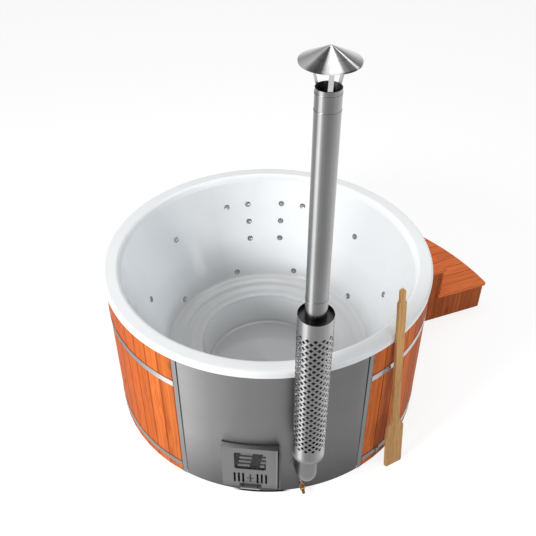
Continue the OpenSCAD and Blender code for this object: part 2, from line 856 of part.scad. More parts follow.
module air_slide() {
    color(steel) at_azimuth(stove_azimuth) {
        upright(slide_x, slide_t, 0) difference() {
            translate([-slide_half_w, slide_low_z])
                square([2 * slide_half_w, slide_top_z - slide_low_z]);
            translate([0, slot_z]) slot_places() for (i = [0 : scallop_count - 1])
                translate([(i % 2 == 0 ? 1 : -1) * scallop_shift,
                    (i - (scallop_count - 1) / 2) * slot_h / scallop_count])
                    circle(scallop_r);
        }
        block([slide_x + slide_t, door_x + tab_gap], [-tab_w / 2, tab_w / 2],
            [slot_z - tab_w / 2, slot_z + tab_w / 2]);
        block([door_x + tab_gap, door_x + tab_gap + tab_t], [-tab_w / 2, tab_w / 2],
            [slot_z - tab_h / 2, slot_z + tab_h / 2]);
    }
}
module slide_guides() {
    lip_x = slide_x - clear - guide_lip;
    color(steel) at_azimuth(stove_azimuth)
        for (z = [[slide_low_z - clear - guide_t, slide_low_z - clear, guide_cover],
                [slide_top_z + clear, slide_top_z + clear + guide_t, -guide_cover]]) {
            block([lip_x, door_back_x], [-slide_half_w, slide_half_w], [z[0], z[1]]);
            block([lip_x, lip_x + guide_lip], [-slide_half_w, slide_half_w],
                [min(z[0], z[0] + z[2]), max(z[1], z[1] + z[2])]);
        }
}

module ash_drawer() {
    back_x = tray_front_x - drawer_l;
    color(steel) at_azimuth(stove_azimuth) {
        block([door_back_x, door_x], [-drawer_w / 2, drawer_w / 2],
            [drawer_z, drawer_z + drawer_h]);
        difference() {
            block([back_x, tray_front_x], [-tray_w / 2, tray_w / 2],
                [drawer_z, drawer_z + tray_h]);
            block([back_x + drawer_t, tray_front_x],
                [drawer_t - tray_w / 2, tray_w / 2 - drawer_t],
                [drawer_z + drawer_t, drawer_z + tray_h + over]);
        }
    }
}
module drawer_handle() {
    leg_at = handle_l / 2 - handle_end;
    bar_x = door_x + handle_gap + handle_d / 2;
    color(steel) at_azimuth(stove_azimuth) translate([0, 0, handle_z]) {
        translate([bar_x, -handle_l / 2]) rotate([-90, 0, 0])
            cylinder(h = handle_l, r = handle_d / 2, $fn = 48);
        for (y = [-leg_at, leg_at]) translate([door_x, y]) rotate([0, 90, 0])
            cylinder(h = handle_gap + handle_d / 2, r = handle_d / 3, $fn = 48);
    }
}
module drawer_runners() {
    gap_y = tray_w / 2 + runner_gap;
    color(steel) at_azimuth(stove_azimuth) for (side = [-1, 1])
        block([tray_front_x - drawer_l, frame_front_x - runner_set_in],
            [min(side * gap_y, side * (gap_y + runner_t)),
                max(side * gap_y, side * (gap_y + runner_t))],
            [frame_z + frame_t, frame_z + frame_t + runner_h]);
}

module firebox() {
    half = hood_w / 2;
    in_half = half - jacket_t;
    color(dark) at_azimuth(stove_azimuth) {
        difference() {
            rotate([90, 0, 0]) translate([0, 0, -half]) linear_extrude(2 * half)
                polygon([[firebox_back_x, frame_z], [frame_back_x, frame_z],
                    [frame_back_x, hood_z], [chimney_back_x, hood_z],
                    [chimney_back_x, bench_side_z], [firebox_back_x, bench_side_z]]);
            rotate([90, 0, 0]) translate([0, 0, -in_half]) linear_extrude(2 * in_half)
                polygon([[cavity_x, frame_z + frame_t],
                    [frame_back_x + over, frame_z + frame_t],
                    [frame_back_x + over, hood_z - jacket_t],
                    [chimney_back_x + jacket_t, hood_z - jacket_t],
                    [chimney_back_x + jacket_t, bench_side_z - jacket_t],
                    [cavity_x, bench_side_z - jacket_t]]);
            duct_middle = (duct_x[0] + duct_x[1]) / 2;
            duct_middle_z = (duct_low_z + duct_top_z) / 2;
            block([duct_middle - port_half[0], duct_middle + port_half[0]],
                [0, half + over],
                [duct_middle_z - port_half[1], duct_middle_z + port_half[1]]);
        }
        for (side = [-1, 1])
            block([cavity_x, cavity_x + grate_l],
                [min(side * in_half, side * (in_half - ledge_w)),
                    max(side * in_half, side * (in_half - ledge_w))],
                [ledge_z, ledge_z + ledge_h]);
    }
}
module firebox_feet() {
    color(dark) at_azimuth(stove_azimuth)
        for (x = [firebox_back_x + feet_in, frame_back_x - feet_in])
            for (y = [feet_in - hood_w / 2, hood_w / 2 - feet_in])
                translate([x, y]) cylinder(h = frame_z, r = feet_r);
}
module fire_grate() {
    half = hood_w / 2 - jacket_t - grate_side_gap;
    first = cavity_x + clear;
    count = floor((grate_l - grate_bar) / grate_pitch);
    color(dark) at_azimuth(stove_azimuth) {
        for (side = [-1, 1])
            block([first, first + count * grate_pitch + grate_bar],
                [min(side * half, side * (half - grate_bar)),
                    max(side * half, side * (half - grate_bar))],
                [grate_z, grate_z + grate_bar]);
        for (i = [0 : count])
            block([first + i * grate_pitch, first + i * grate_pitch + grate_bar],
                [-half, half], [grate_z, grate_z + grate_bar]);
    }
}
module flue_stub_shape(r) at_azimuth(flue_azimuth, stub_x, elbow_z) rotate([0, 90, 0])
    cylinder(h = flue_x - bend_r - stub_x, r = r);
module smoke_duct() {
    duct_middle = (duct_x[0] + duct_x[1]) / 2;
    duct_middle_z = (duct_low_z + duct_top_z) / 2;
    color(dark) difference() {
        at_azimuth(stove_azimuth) difference() {
            block(duct_x, [hood_w / 2, duct_end_y], [duct_low_z, duct_top_z]);
            block([duct_x[0] + duct_t, duct_x[1] - duct_t],
                [hood_w / 2 + duct_t, duct_end_y - duct_t],
                [duct_low_z + duct_t, duct_top_z - duct_t]);
            block([duct_middle - port_half[0], duct_middle + port_half[0]],
                [0, hood_w / 2 + duct_t + over],
                [duct_middle_z - port_half[1], duct_middle_z + port_half[1]]);
        }
        flue_stub_shape(flue_r + clear);
    }
}
module heater_pipes() {
    upper_l = 90;
    lower_l = 260;
    flange_out = 10;
    flange_r = heater_r + flange_out;
    flange_t = 4;
    module run(l) {
        translate([0, 0, -l]) tube(heater_r, heater_t, l - shell_t / 4);
        translate([0, 0, -shell_t - clear - flange_t])
            tube(flange_r, flange_r - heater_r + heater_t, flange_t);
    }
    color(steel) {
        difference() {
            on_wall(stove_azimuth, port_upper_z) run(upper_l);
            at_azimuth(stove_azimuth)
                block([chimney_back_x, frame_back_x], [-upper_l, upper_l], [0, hood_z]);
        }
        difference() {
            on_riser(port_lower_z) run(lower_l);
            at_azimuth(stove_azimuth)
                block([firebox_back_x, frame_back_x], [-lower_l, lower_l], [-lower_l, hood_z]);
        }
    }
}
module port_grilles() {
    hole_at = port_grille_r * 0.55;
    module grille(R) translate([0, 0, disc_gap(port_grille_r, R)]) difference() {
        cylinder(h = port_grille_t, r = port_grille_r);
        translate([0, 0, -over])
            cylinder(h = port_grille_t + 2 * over, r = port_hole_r);
        for (i = [0 : 7]) rotate([0, 0, i * 45]) translate([hole_at, 0, -over])
            cylinder(h = port_grille_t + 2 * over, r = port_hole_r);
    }
    color("white") {
        on_wall(stove_azimuth, port_upper_z) grille(wall_r(port_upper_z));
        on_riser(port_lower_z) grille(foot_well_r);
    }
}

module flue_elbow() {
    bend_z = elbow_z + bend_r;
    color(steel) {
        difference() {
            flue_stub_shape(flue_r);
            at_azimuth(flue_azimuth, stub_x - over, elbow_z) rotate([0, 90, 0])
                cylinder(h = 4 * bend_r, r = flue_r - flue_t);
        }
        at_azimuth(flue_azimuth, flue_x - bend_r, bend_z) rotate([90, 0, 0])
            rotate([0, 0, -90]) rotate_extrude(angle = 90)
                translate([bend_r, 0]) difference() {
                    circle(flue_r);
                    circle(flue_r - flue_t);
                }
        on_flue(bend_z) tube(flue_r, flue_t, elbow_top_z - bend_z);
        on_flue(elbow_top_z - collar_below)
            tube(flue_r + clear + collar_t, collar_t, collar_h);
        on_flue(elbow_top_z - collar_below)
            tube(flue_r + clear + collar_t, flue_t + clear + collar_t, collar_below);
    }
}
module flue_flange() {
    color(steel) difference() {
        intersection() {
            at_azimuth(flue_azimuth, tub_r, elbow_z) rotate([0, 90, 0])
                cylinder(h = 2 * stave_t, r = flange_r, center = true);
            translate([0, 0, elbow_z - 2 * flange_r]) difference() {
                cylinder(h = 4 * flange_r, r = tub_r + clear + flange_t, $fn = 180);
                translate([0, 0, -over])
                    cylinder(h = 4 * flange_r + 2 * over, r = tub_r + clear, $fn = 180);
            }
        }
        at_azimuth(flue_azimuth, tub_r, elbow_z) rotate([0, 90, 0])
            cylinder(h = 4 * stave_t, r = flue_r + clear, center = true);
    }
}
module on_flue(z) at_azimuth(flue_azimuth, flue_x, z) children();
module flue_pipe_lower() {
    low = elbow_top_z + clear;
    color(steel) on_flue(low) tube(flue_r, flue_t, joint_z - low);
}
module flue_pipe_upper() color(steel)
    on_flue(joint_z) tube(flue_r, flue_t, pipe_top_z - joint_z);
module pipe_band() color(steel) {
    outer = flue_r + clear + band_sheet;
    on_flue(joint_z - band_h / 2) tube(outer, band_sheet, band_h);
    for (drop = [band_lower_drop, band_upper_drop])
        on_flue(pipe_top_z - drop) tube(outer, band_sheet, band_h / 2);
}
module flue_guard() {
    low = guard_z + guard_seat;
    color("silver") on_flue(0) difference() {
        translate([0, 0, low]) tube(guard_r, guard_t, guard_top_z - low);
        for (c = [0 : perf_columns - 1]) for (i = [0 : perf_rows - 1])
            rotate([0, 0, c * 360 / perf_columns])
                translate([guard_r - perf_cut, 0, perf_low_z + perf_pitch * (i + (c % 2) / 2)])
                    rotate([45, 0, 0]) translate([0, -perf_side / 2, -perf_side / 2])
                        cube([2 * perf_cut, perf_side, perf_side]);
    }
}
module guard_reducer() {
    neck_r = flue_r + clear;
    low = guard_z - reducer_drop;
    color("silver") on_flue(0) rotate_extrude() polygon([
        [guard_r, guard_z + guard_seat], [guard_r, guard_z],
        [neck_r + guard_t + flange_seat, low],
        [neck_r + guard_t, low], [neck_r + guard_t, low - reducer_neck],
        [neck_r, low - reducer_neck], [neck_r, low + guard_t],
        [neck_r + guard_t, low + guard_t], [guard_r - guard_t, guard_z + guard_t],
        [guard_r - guard_t, guard_z + guard_seat]]);
}
module guard_spacer() color(dark) on_flue(guard_top_z - spacer_drop - spacer_t)
    tube(guard_r - guard_t - clear, guard_r - guard_t - 2 * clear - flue_r, spacer_t);
module rain_cap() {
    brim_z = pipe_top_z + cap_gap;
    seam_r = cap_r * cap_seam_share;
    seam_z = brim_z + cap_h * (1 - cap_seam_share);
    face = [[0, brim_z + cap_h], [seam_r, seam_z], [seam_r + cap_step, seam_z - cap_step],
        [cap_r, brim_z], [cap_r, brim_z - cap_lip]];
    back = shifted_path(face, cap_t);
    color(steel) on_flue(0) rotate_extrude()
        polygon(concat(face, [[cap_r - cap_t, brim_z - cap_lip]],
            [back[3], back[2], back[1], [0, back[0][1]]]));
}
module cap_straps() {
    foot_x = sqrt(pow(flue_r - flue_t - clear, 2) - pow(strap_w / 2, 2));
    cone_z = pipe_top_z + cap_gap + cap_h * (1 - strap_top_r / cap_r) - 2 * cap_t;
    color(steel) for (i = [0 : strap_count - 1]) on_flue(0)
        rotate([0, 0, strap_azimuth + 360 * i / strap_count])
            rotate([90, 0, 0]) translate([0, 0, -strap_w / 2])
                linear_extrude(strap_w)
                    polygon([[foot_x - strap_t, pipe_top_z - strap_foot],
                        [foot_x, pipe_top_z - strap_foot], [foot_x, pipe_top_z],
                        [strap_top_r, cone_z], [strap_top_r - strap_t, cone_z + strap_t / 3],
                        [foot_x - strap_t, pipe_top_z + strap_t]]);
}

module jet_rings() {
    bore = nozzle_r + clear;
    sleeve = jet_hole_r - clear;
    color("silver") for (s = jet_sites()) on_wall(s[0], s[1])
        let (seat = disc_gap(jet_r, wall_r(s[1])), edge = seat + jet_flange_t * 0.4)
            rotate_extrude($fn = 48) polygon([[bore, -shell_t - jet_tail],
                [sleeve, -shell_t - jet_tail], [sleeve, seat], [jet_r, seat], [jet_r, edge],
                [jet_r - ring_bevel, seat + jet_flange_t],
                [nozzle_r + ring_land, seat + jet_flange_t * 0.8], [bore, edge]]);
}
module jet_nozzles() {
    color("silver") for (s = jet_sites()) on_wall(s[0], s[1])
        translate([0, 0, clear - shell_t]) tube(nozzle_r, nozzle_r * nozzle_bore_share,
            shell_t + jet_flange_t * 0.7, $fn = 48);
}
module jet_bodies() {
    mouth_z = -shell_t - clear;
    color(dark) for (s = jet_sites()) on_wall(s[0], s[1]) difference() {
        translate([0, 0, mouth_z - jet_body_l]) cylinder(h = jet_body_l, r = jet_body_r);
        translate([0, 0, mouth_z - jet_body_l / 2])
            cylinder(h = jet_body_l, r = jet_hole_r);
        translate([0, 0, mouth_z - jet_body_l - over])
            cylinder(h = 2 * jet_body_l, r = hose_r / 2);
    }
}
module air_manifold() {
    ball_r = hose_r + hose_end_over;
    depth = shell_t + clear + jet_body_l
        + sqrt(pow(ball_r + clear, 2) - pow(hose_r / 2, 2));
    color(dark) {
        rotate([0, 0, 90 - manifold_half_angle]) translate([0, 0, manifold_z])
            rotate_extrude(angle = 2 * manifold_half_angle, $fn = 180)
                translate([manifold_x, 0]) circle(manifold_r, $fn = 48);
        for (s = jet_sites()) {
            end = [wall_r(s[1]) + depth * cos(wall_tilt), s[1] - depth * sin(wall_tilt)];
            way = end - [manifold_x, manifold_z];
            rotate([0, 0, s[0]]) {
                translate([end[0], 0, end[1]]) sphere(ball_r, $fn = 48);
                translate([manifold_x, 0, manifold_z])
                    rotate([0, atan2(way[0], way[1]), 0])
                        cylinder(h = norm(way), r = hose_r, $fn = 48);
            }
        }
        at_azimuth(blower_azimuth, manifold_x, blower_foot + blower_h + blower_boss)
            cylinder(h = manifold_z - blower_foot - blower_h - blower_boss,
                r = manifold_r * riser_share, $fn = 48);
    }
}
module air_blower() {
    color(dark) {
        at_azimuth(blower_azimuth, blower_x, blower_foot) {
            cylinder(h = blower_h, r = blower_r);
            translate([0, 0, blower_h]) cylinder(h = motor_h, r = motor_r - motor_neck);
            for (i = [0 : 3]) rotate([0, 0, 45 + 90 * i])
                translate([blower_r - blower_foot_in, 0, -blower_foot])
                    cylinder(h = blower_foot, r = blower_foot_r);
        }
        at_azimuth(blower_azimuth, manifold_x, blower_foot + blower_h)
            cylinder(h = blower_boss, r = manifold_r, $fn = 48);
    }
}

module drain_strainer() {
    color("silver") at_azimuth(flue_azimuth, drain_at_r, floor_h + clear)
        difference() {
            cylinder(h = strainer_t, r = strainer_r);
            for (i = [0 : 6]) rotate([0, 0, i * 60])
                translate([i == 6 ? 0 : strainer_r * 0.32, 0, -over])
                    cylinder(h = strainer_t + 2 * over, r = strainer_hole_r);
        }
}
module drain_pipe() {
    inner = drain_r - tail_wall;
    end_x = valve_x - valve_half;
    color("gray") rotate([0, 0, flue_azimuth]) difference() {
        union() {
            translate([drain_at_r, 0, drain_z])
                cylinder(h = floor_h - drain_z - clear, r = drain_r);
            translate([drain_at_r, 0, drain_z]) sphere(drain_r);
            translate([drain_at_r, 0, drain_z]) rotate([0, 90, 0])
                cylinder(h = end_x - drain_at_r, r = drain_r);
        }
        translate([drain_at_r, 0, drain_z]) cylinder(h = floor_h, r = inner);
        translate([drain_at_r, 0, drain_z]) sphere(inner);
        translate([drain_at_r, 0, drain_z]) rotate([0, 90, 0])
            cylinder(h = end_x, r = inner);
    }
}
module in_valve() at_azimuth(flue_azimuth, valve_x, drain_z)
    rotate([valve_roll, 0, 0]) children();
module valve_body() {
    bore = spigot_r - tail_wall;
    nut_r = valve_r + nut_over;
    color("gold") in_valve() difference() {
        union() {
            translate([-valve_half, 0]) rotate([0, 90, 0])
                cylinder(h = 2 * valve_half, r = valve_r);
            for (x = [-valve_half, valve_half - nut_w]) translate([x, 0]) rotate([0, 90, 0])
                cylinder(h = nut_w, r = nut_r, $fn = 6);
            translate([valve_half, 0]) rotate([0, 90, 0])
                cylinder(h = spigot_l, r = spigot_r);
            rotate([-90, 0, 0]) cylinder(h = valve_r + stem_l, r = stem_r);
        }
        translate([-valve_half - over, 0]) rotate([0, 90, 0])
            cylinder(h = 4 * valve_half + spigot_l, r = bore);
    }
}
module valve_lever() {
    hub_r = stem_r + hub_over;
    lever_y = valve_r + lever_gap;
    color("red") in_valve() difference() {
        union() {
            translate([0, lever_y]) rotate([-90, 0, 0]) cylinder(h = lever_t + hub_rise, r = hub_r);
            block([-lever_w / 2, lever_w / 2], [lever_y, lever_y + lever_t],
                [-lever_back, lever_l - lever_w / 2]);
            translate([0, lever_y, lever_l - lever_w / 2]) rotate([-90, 0, 0])
                cylinder(h = lever_t, r = lever_w / 2);
        }
        translate([0, 0]) rotate([-90, 0, 0])
            cylinder(h = lever_y + 4 * lever_t, r = stem_r + run);
    }
}

module steps_wedge() {
    far = 2 * lower_r;
    polygon([[0, 0], [far, 0], [far * cos(steps_span), far * sin(steps_span)]]);
}
module tread(r_in, r_out, top_z) {
    count = ceil(r_out * sin(steps_span) / board_pitch);
    color(wood) at_azimuth(steps_azimuth, 0, top_z - tread_t) linear_extrude(tread_t)
        intersection() {
            difference() {
                circle(r_out, $fn = 180);
                circle(r_in, $fn = 180);
            }
            steps_wedge();
            for (i = [0 : count - 1]) translate([0, i * board_pitch])
                square([r_out, board_pitch - board_gap]);
        }
}
module tread_upper() tread(steps_r, upper_r, 2 * step_rise);
module tread_lower() tread(upper_apothem - clear, lower_r, step_rise);
module riser_ring(apothem, z, h) {
    ends = asin(end_in / apothem);
    span = steps_span - 2 * ends;
    count = round(apothem * span * PI / 180 / board_pitch);
    pitch = span / count;
    board = 2 * apothem * tan(pitch / 2) - board_gap / 2;
    for (i = [0 : count - 1]) rotate([0, 0, steps_azimuth + ends + pitch * (i + 0.5)])
        translate([apothem, -board / 2, z]) cube([riser_t, board, h]);
}
module riser_boards() color(wood) {
    riser_ring(upper_apothem, step_rise, step_rise - tread_t);
    riser_ring(lower_apothem, 0, step_rise - tread_t);
}
module end_boards(from, to, h) {
    count = round((to - from) / board_pitch);
    board = (to - from) / count;
    for (i = [0 : count - 1])
        translate([from + i * board, end_in, 0])
            cube([board - board_gap / 2, end_t, h]);
}
module step_end() {
    upper_end = sqrt(pow(upper_apothem, 2) - pow(end_in + end_t, 2)) - 2 * clear;
    lower_end = sqrt(pow(lower_apothem, 2) - pow(end_in + end_t, 2)) - 2 * clear;
    end_boards(steps_r, upper_end, 2 * step_rise - tread_t);
    end_boards(upper_end, lower_end, step_rise - tread_t);
}
module step_end_near() color(wood) at_azimuth(steps_azimuth) step_end();
module step_end_far() color(wood) at_azimuth(steps_azimuth + steps_span)
    mirror([0, 1, 0]) step_end();
module carrier() {
    inner = steps_r + carrier_back;
    upper = carrier_reach(upper_apothem) - carrier_gap;
    lower = carrier_reach(lower_apothem);
    rotate([90, 0, 0]) translate([0, 0, -carrier_in - carrier_t])
        linear_extrude(carrier_t) polygon([[inner, 0], [lower, 0],
            [lower, step_rise - tread_t], [upper, step_rise - tread_t],
            [upper, 2 * step_rise - tread_t], [inner, 2 * step_rise - tread_t]]);
}
module step_carriers() color(wood_dark) {
    at_azimuth(steps_azimuth) carrier();
    at_azimuth(steps_azimuth + steps_span / 2) translate([0, -carrier_in - carrier_t / 2])
        carrier();
    at_azimuth(steps_azimuth + steps_span) mirror([0, 1, 0]) carrier();
}

module stirring_paddle() {
    toe_w = 4;
    toe_h = 12;
    toe_round = 8;
    heel = 14;
    heel_round = 10;
    blade_round = 14;
    neck_round = 60;
    end_step = 10;
    end_step_round = 6;
    end_round = 12;
    neck = blade_l + shoulder_l;
    blade = rounded_path([[blade_w / 2 - toe_w, 0, 0],
        [blade_w / 2, toe_h, toe_round], [blade_w / 2, blade_l, blade_round],
        [grip_w / 2, neck, neck_round], [grip_w / 2, neck + neck_round, 0],
        [-grip_w / 2, neck + neck_round, 0], [-grip_w / 2, neck, neck_round],
        [-blade_w / 2, blade_l, blade_round], [-blade_w / 2, heel, heel_round],
        [heel - blade_w / 2, 0, 0]]);
    grip_from = blade_l + shoulder_l * 0.7;
    step_at = paddle_l - grip_end_l;
    grip = rounded_path([[grip_w / 2, grip_from, 0],
        [grip_w / 2, step_at, end_step_round],
        [grip_end_w / 2, step_at + end_step, end_step_round],
        [grip_end_w / 2, paddle_l, end_round], [-grip_end_w / 2, paddle_l, end_round],
        [-grip_end_w / 2, step_at + end_step, end_step_round],
        [-grip_w / 2, step_at, end_step_round], [-grip_w / 2, grip_from, 0]]);
    module face(t) rotate([90, 0, 90]) translate([0, 0, -t / 2])
        linear_extrude(t) children();
    color("#c79a5b") at_azimuth(paddle_azimuth, tub_r + paddle_foot, paddle_lift)
        rotate([0, -paddle_lean, 0]) rotate([0, 0, paddle_turn]) {
            face(blade_t) polygon(blade);
            face(paddle_t) polygon(grip);
        }
}

liner();
base_joists();
floor_deck();
bench_posts();
wall_posts();
backing_rings();
staves_left();
staves_back();
staves_right();
front_panel();
panel_rails();
trim_left();
trim_right();
band_upper();
band_lower();
band_locks();
stove_frame();
hinge_pin();
furnace_door();
window_glass();
window_grille();
air_slide();
slide_guides();
ash_drawer();
drawer_handle();
drawer_runners();
firebox();
firebox_feet();
fire_grate();
smoke_duct();
heater_pipes();
port_grilles();
flue_elbow();
flue_flange();
flue_pipe_lower();
flue_pipe_upper();
pipe_band();
flue_guard();
guard_reducer();
guard_spacer();
rain_cap();
cap_straps();
jet_rings();
jet_nozzles();
jet_bodies();
air_manifold();
air_blower();
drain_strainer();
drain_pipe();
valve_body();
valve_lever();
tread_lower();
tread_upper();
riser_boards();
step_end_near();
step_end_far();
step_carriers();
stirring_paddle();
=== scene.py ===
import math

import bmesh
import bpy
from mathutils import Matrix, Vector


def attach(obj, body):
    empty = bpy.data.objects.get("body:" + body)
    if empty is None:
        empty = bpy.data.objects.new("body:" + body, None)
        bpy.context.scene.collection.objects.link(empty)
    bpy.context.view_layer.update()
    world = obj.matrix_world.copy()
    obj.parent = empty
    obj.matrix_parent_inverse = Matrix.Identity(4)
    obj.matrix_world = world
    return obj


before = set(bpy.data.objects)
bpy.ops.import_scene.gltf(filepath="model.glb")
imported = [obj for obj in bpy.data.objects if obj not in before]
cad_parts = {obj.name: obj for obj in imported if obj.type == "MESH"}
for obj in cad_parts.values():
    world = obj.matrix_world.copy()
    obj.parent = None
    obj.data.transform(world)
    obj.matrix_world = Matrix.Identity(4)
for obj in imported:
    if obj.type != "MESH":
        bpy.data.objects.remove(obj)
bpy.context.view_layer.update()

# Camera
CAM_PLACE = (-0.1045, -3.5205, 3.74)
CAM_TILT, CAM_TURN, CAM_LENS, CAM_SENSOR = 51.21, -1.7, 48.38, 36.0
cam_data = bpy.data.cameras.new("view")
cam_data.lens, cam_data.sensor_width = CAM_LENS, CAM_SENSOR
camera = bpy.data.objects.new("view", cam_data)
camera.location = CAM_PLACE
camera.rotation_euler = (math.radians(CAM_TILT), 0, math.radians(CAM_TURN))
bpy.context.scene.collection.objects.link(camera)
bpy.context.scene.camera = camera

# Places on the tub, in metres, and in degrees round its axis
TUB_R = 1.0
STOVE_AZ, FLUE_AZ, PANEL_AZ, PADDLE_AZ, PANEL_HALF = -97.45, -80.25, -89.9, -47.7, 31.2
CLAD_FROM, STAVE_PITCH = -57.096, 5.6537
BAND_TOPS, BETWEEN_BANDS, RIM_LIP = (0.807, 0.093), 0.4, (0.985, 1.0)
# The steps: boards on the treads, in the end walls and in the risers
STEPS_AZ, STEPS_SPAN = 20.0, 35.0
BOARD_PITCH, BOARD_GAP = 0.089, 0.004
END_PITCH, END_FROM, RISER_PITCH = 0.0836, 1.0018, 3.4
# The stove's front: along the radius, then across and upwards
SLAT_FROM, DOOR_FACE, HANDLE_BAR = 1.0128, 1.0255, 1.0430
DOOR_EDGE, HINGE_MIDDLE, HOOD_HALF, HOOD_TOP = 0.1575, 0.169, 0.1635, 0.439
# The flue's axis and its guard
FLUE_R, GUARD_INSIDE, GUARD_PLAIN, GUARD_TOP = 1.108, 0.0872, (0.51, 0.53), 1.484
# The drain valve
VALVE_X, VALVE_Z, VALVE_ROLL, LEVER_Y = 1.022, 0.042, 21.0, 0.0165


def polar(azimuth, r, t=0.0, z=0.0):
    """The point at radius r and tangential offset t in the direction azimuth."""
    a = math.radians(azimuth)
    return Vector((r * math.cos(a) - t * math.sin(a), r * math.sin(a) + t * math.cos(a), z))


FLUE_AXIS = polar(FLUE_AZ, FLUE_R)


# Materials
def seen_rays(tree):
    """1 for a ray that shows the background itself, 0 for one that only carries its light."""
    path = tree.nodes.new("ShaderNodeLightPath").outputs
    seen = path["Is Camera Ray"]
    for kind in ("Is Glossy Ray", "Is Transmission Ray"):
        either = tree.nodes.new("ShaderNodeMath")
        either.operation = "MAXIMUM"
        tree.links.new(seen, either.inputs[0])
        tree.links.new(path[kind], either.inputs[1])
        seen = either.outputs[0]
    return seen


def rgba(colour):
    """The colour with its alpha, from three parts or from a grey."""
    return (*colour, 1.0) if hasattr(colour, "__len__") else (colour, colour, colour, 1.0)


# Most of a noise lies in this range
NOISE_RANGE = (0.3, 0.7)


class Finish:
    """One procedural material. Coordinates are the object's own, in metres."""

    def __init__(self, name):
        self.mat = bpy.data.materials.new(name)
        self.mat.use_nodes = True
        self.tree = self.mat.node_tree
        self.tree.nodes.clear()
        self.shader = self.tree.nodes.new("ShaderNodeBsdfPrincipled")
        out = self.tree.nodes.new("ShaderNodeOutputMaterial")
        self.tree.links.new(self.shader.outputs[0], out.inputs[0])
        self.at = self.tree.nodes.new("ShaderNodeTexCoord").outputs["Object"]

    def put(self, socket, value):
        """Link a socket, or write a value into it. Colours have no alpha, or are greys."""
        if isinstance(value, bpy.types.NodeSocket):
            self.tree.links.new(value, socket)
        elif value is not None:
            socket.default_value = rgba(value) if socket.type == "RGBA" else value

    def node(self, kind, *values, **props):
        """A new node with values for its first inputs, and with its settings."""
        n = self.tree.nodes.new("ShaderNode" + kind)
        for key, value in props.items():
            setattr(n, key, value)
        for socket, value in zip(n.inputs, values):
            self.put(socket, value)
        return n

    def calc(self, operation, a, b=None):
        return self.node("Math", a, b, operation=operation).outputs[0]

    def vector(self, operation, a, b=None):
        return self.node("VectorMath", a, b, operation=operation).outputs[0]

    def length(self, vector):
        return self.node("VectorMath", vector, operation="LENGTH").outputs["Value"]

    def xyz(self):
        return self.node("SeparateXYZ", self.at).outputs

    def join(self, x, y, z):
        return self.node("CombineXYZ", x, y, z).outputs[0]

    def noise(self, vector, scale, detail, rough, distortion=0.0):
        n = self.node("TexNoise")
        for key, value in (("Vector", vector), ("Scale", scale), ("Detail", detail),
                           ("Roughness", rough), ("Distortion", distortion)):
            self.put(n.inputs[key], value)
        return n.outputs[0]

    def cells(self, vector, scale):
        n = self.node("TexVoronoi")
        self.put(n.inputs["Vector"], vector)
        self.put(n.inputs["Scale"], scale)
        return n.outputs

    def random(self, value):
        """A number and a colour that are the same for the same value."""
        n = self.node("TexWhiteNoise", noise_dimensions="1D")
        self.put(n.inputs["W"], value)
        return n.outputs[0], n.outputs[1]

    def span(self, value, low, high, to_low=0.0, to_high=1.0):
        """The place of a value between low and high, carried over to another range."""
        n = self.node("MapRange", value, low, high, to_low, to_high)
        n.clamp = True
        return n.outputs[0]

    def vary(self, noise, low=0.0, high=1.0):
        """A value that follows a noise from low to high."""
        return self.span(noise, *NOISE_RANGE, low, high)

    def ramp(self, value, *stops):
        """Colours by value, from (place, colour or grey) pairs."""
        n = self.node("ValToRGB", value)
        while len(n.color_ramp.elements) < len(stops):
            n.color_ramp.elements.new(0.5)
        for element, (place, colour) in zip(n.color_ramp.elements, stops):
            element.position = place
            element.color = rgba(colour)
        return n.outputs[0]

    def mix(self, factor, a, b, blend="MIX"):
        """Colour a at factor 0 and colour b at factor 1."""
        n = self.node("Mix", data_type="RGBA", blend_type=blend)
        self.put(n.inputs[0], factor)
        self.put(n.inputs[6], a)
        self.put(n.inputs[7], b)
        return n.outputs[2]

    def times(self, colour, tone):
        return self.mix(1.0, colour, tone, "MULTIPLY")

    def grey(self, value):
        return self.join(value, value, value)

    def beyond(self, value, level, below, above):
        """One colour up to a level and another beyond it."""
        return self.mix(self.calc("GREATER_THAN", value, level), below, above)

    def bump(self, height, distance, strength):
        n = self.node("Bump")
        self.put(n.inputs["Height"], height)
        self.put(n.inputs["Distance"], distance)
        self.put(n.inputs["Strength"], strength)
        return n.outputs[0]

    def set(self, **inputs):
        """Fill the shader's inputs, whose names have _ for a space here."""
        for key, value in inputs.items():
            self.put(self.shader.inputs[key.replace("_", " ")], value)

    def angle(self, centre=(0.0, 0.0)):
        """Azimuth round a vertical axis, in degrees."""
        x, y, _ = self.xyz()
        dx = self.calc("SUBTRACT", x, centre[0])
        dy = self.calc("SUBTRACT", y, centre[1])
        return self.calc("MULTIPLY", self.calc("ARCTAN2", dy, dx), 180 / math.pi)

    def turn(self, centre=(0.0, 0.0)):
        """Azimuth as a share of a full turn, 0 at -180 degrees."""
        return self.span(self.angle(centre), -180.0, 180.0)

    def local(self, azimuth):
        """Radial and tangential coordinate in the direction azimuth, and the height."""
        x, y, z = self.xyz()
        c, s = math.cos(math.radians(azimuth)), math.sin(math.radians(azimuth))
        u = self.calc("ADD", self.calc("MULTIPLY", x, c), self.calc("MULTIPLY", y, s))
        v = self.calc("SUBTRACT", self.calc("MULTIPLY", y, c), self.calc("MULTIPLY", x, s))
        return u, v, z


# Places as functions of a finish
def height(f):
    return f.xyz()[2]


def outward(f):
    """Distance from the tub's axis."""
    x, y, _ = f.xyz()
    return f.length(f.join(x, y, 0.0))


def off_flue(f):
    """Distance from the flue's axis."""
    x, y, _ = f.xyz()
    return f.length(f.join(f.calc("SUBTRACT", x, FLUE_AXIS.x),
                           f.calc("SUBTRACT", y, FLUE_AXIS.y), 0.0))


def round_tub(f):
    """Distance round the tub's wall."""
    return f.calc("MULTIPLY", f.angle(), math.pi / 180 * TUB_R)


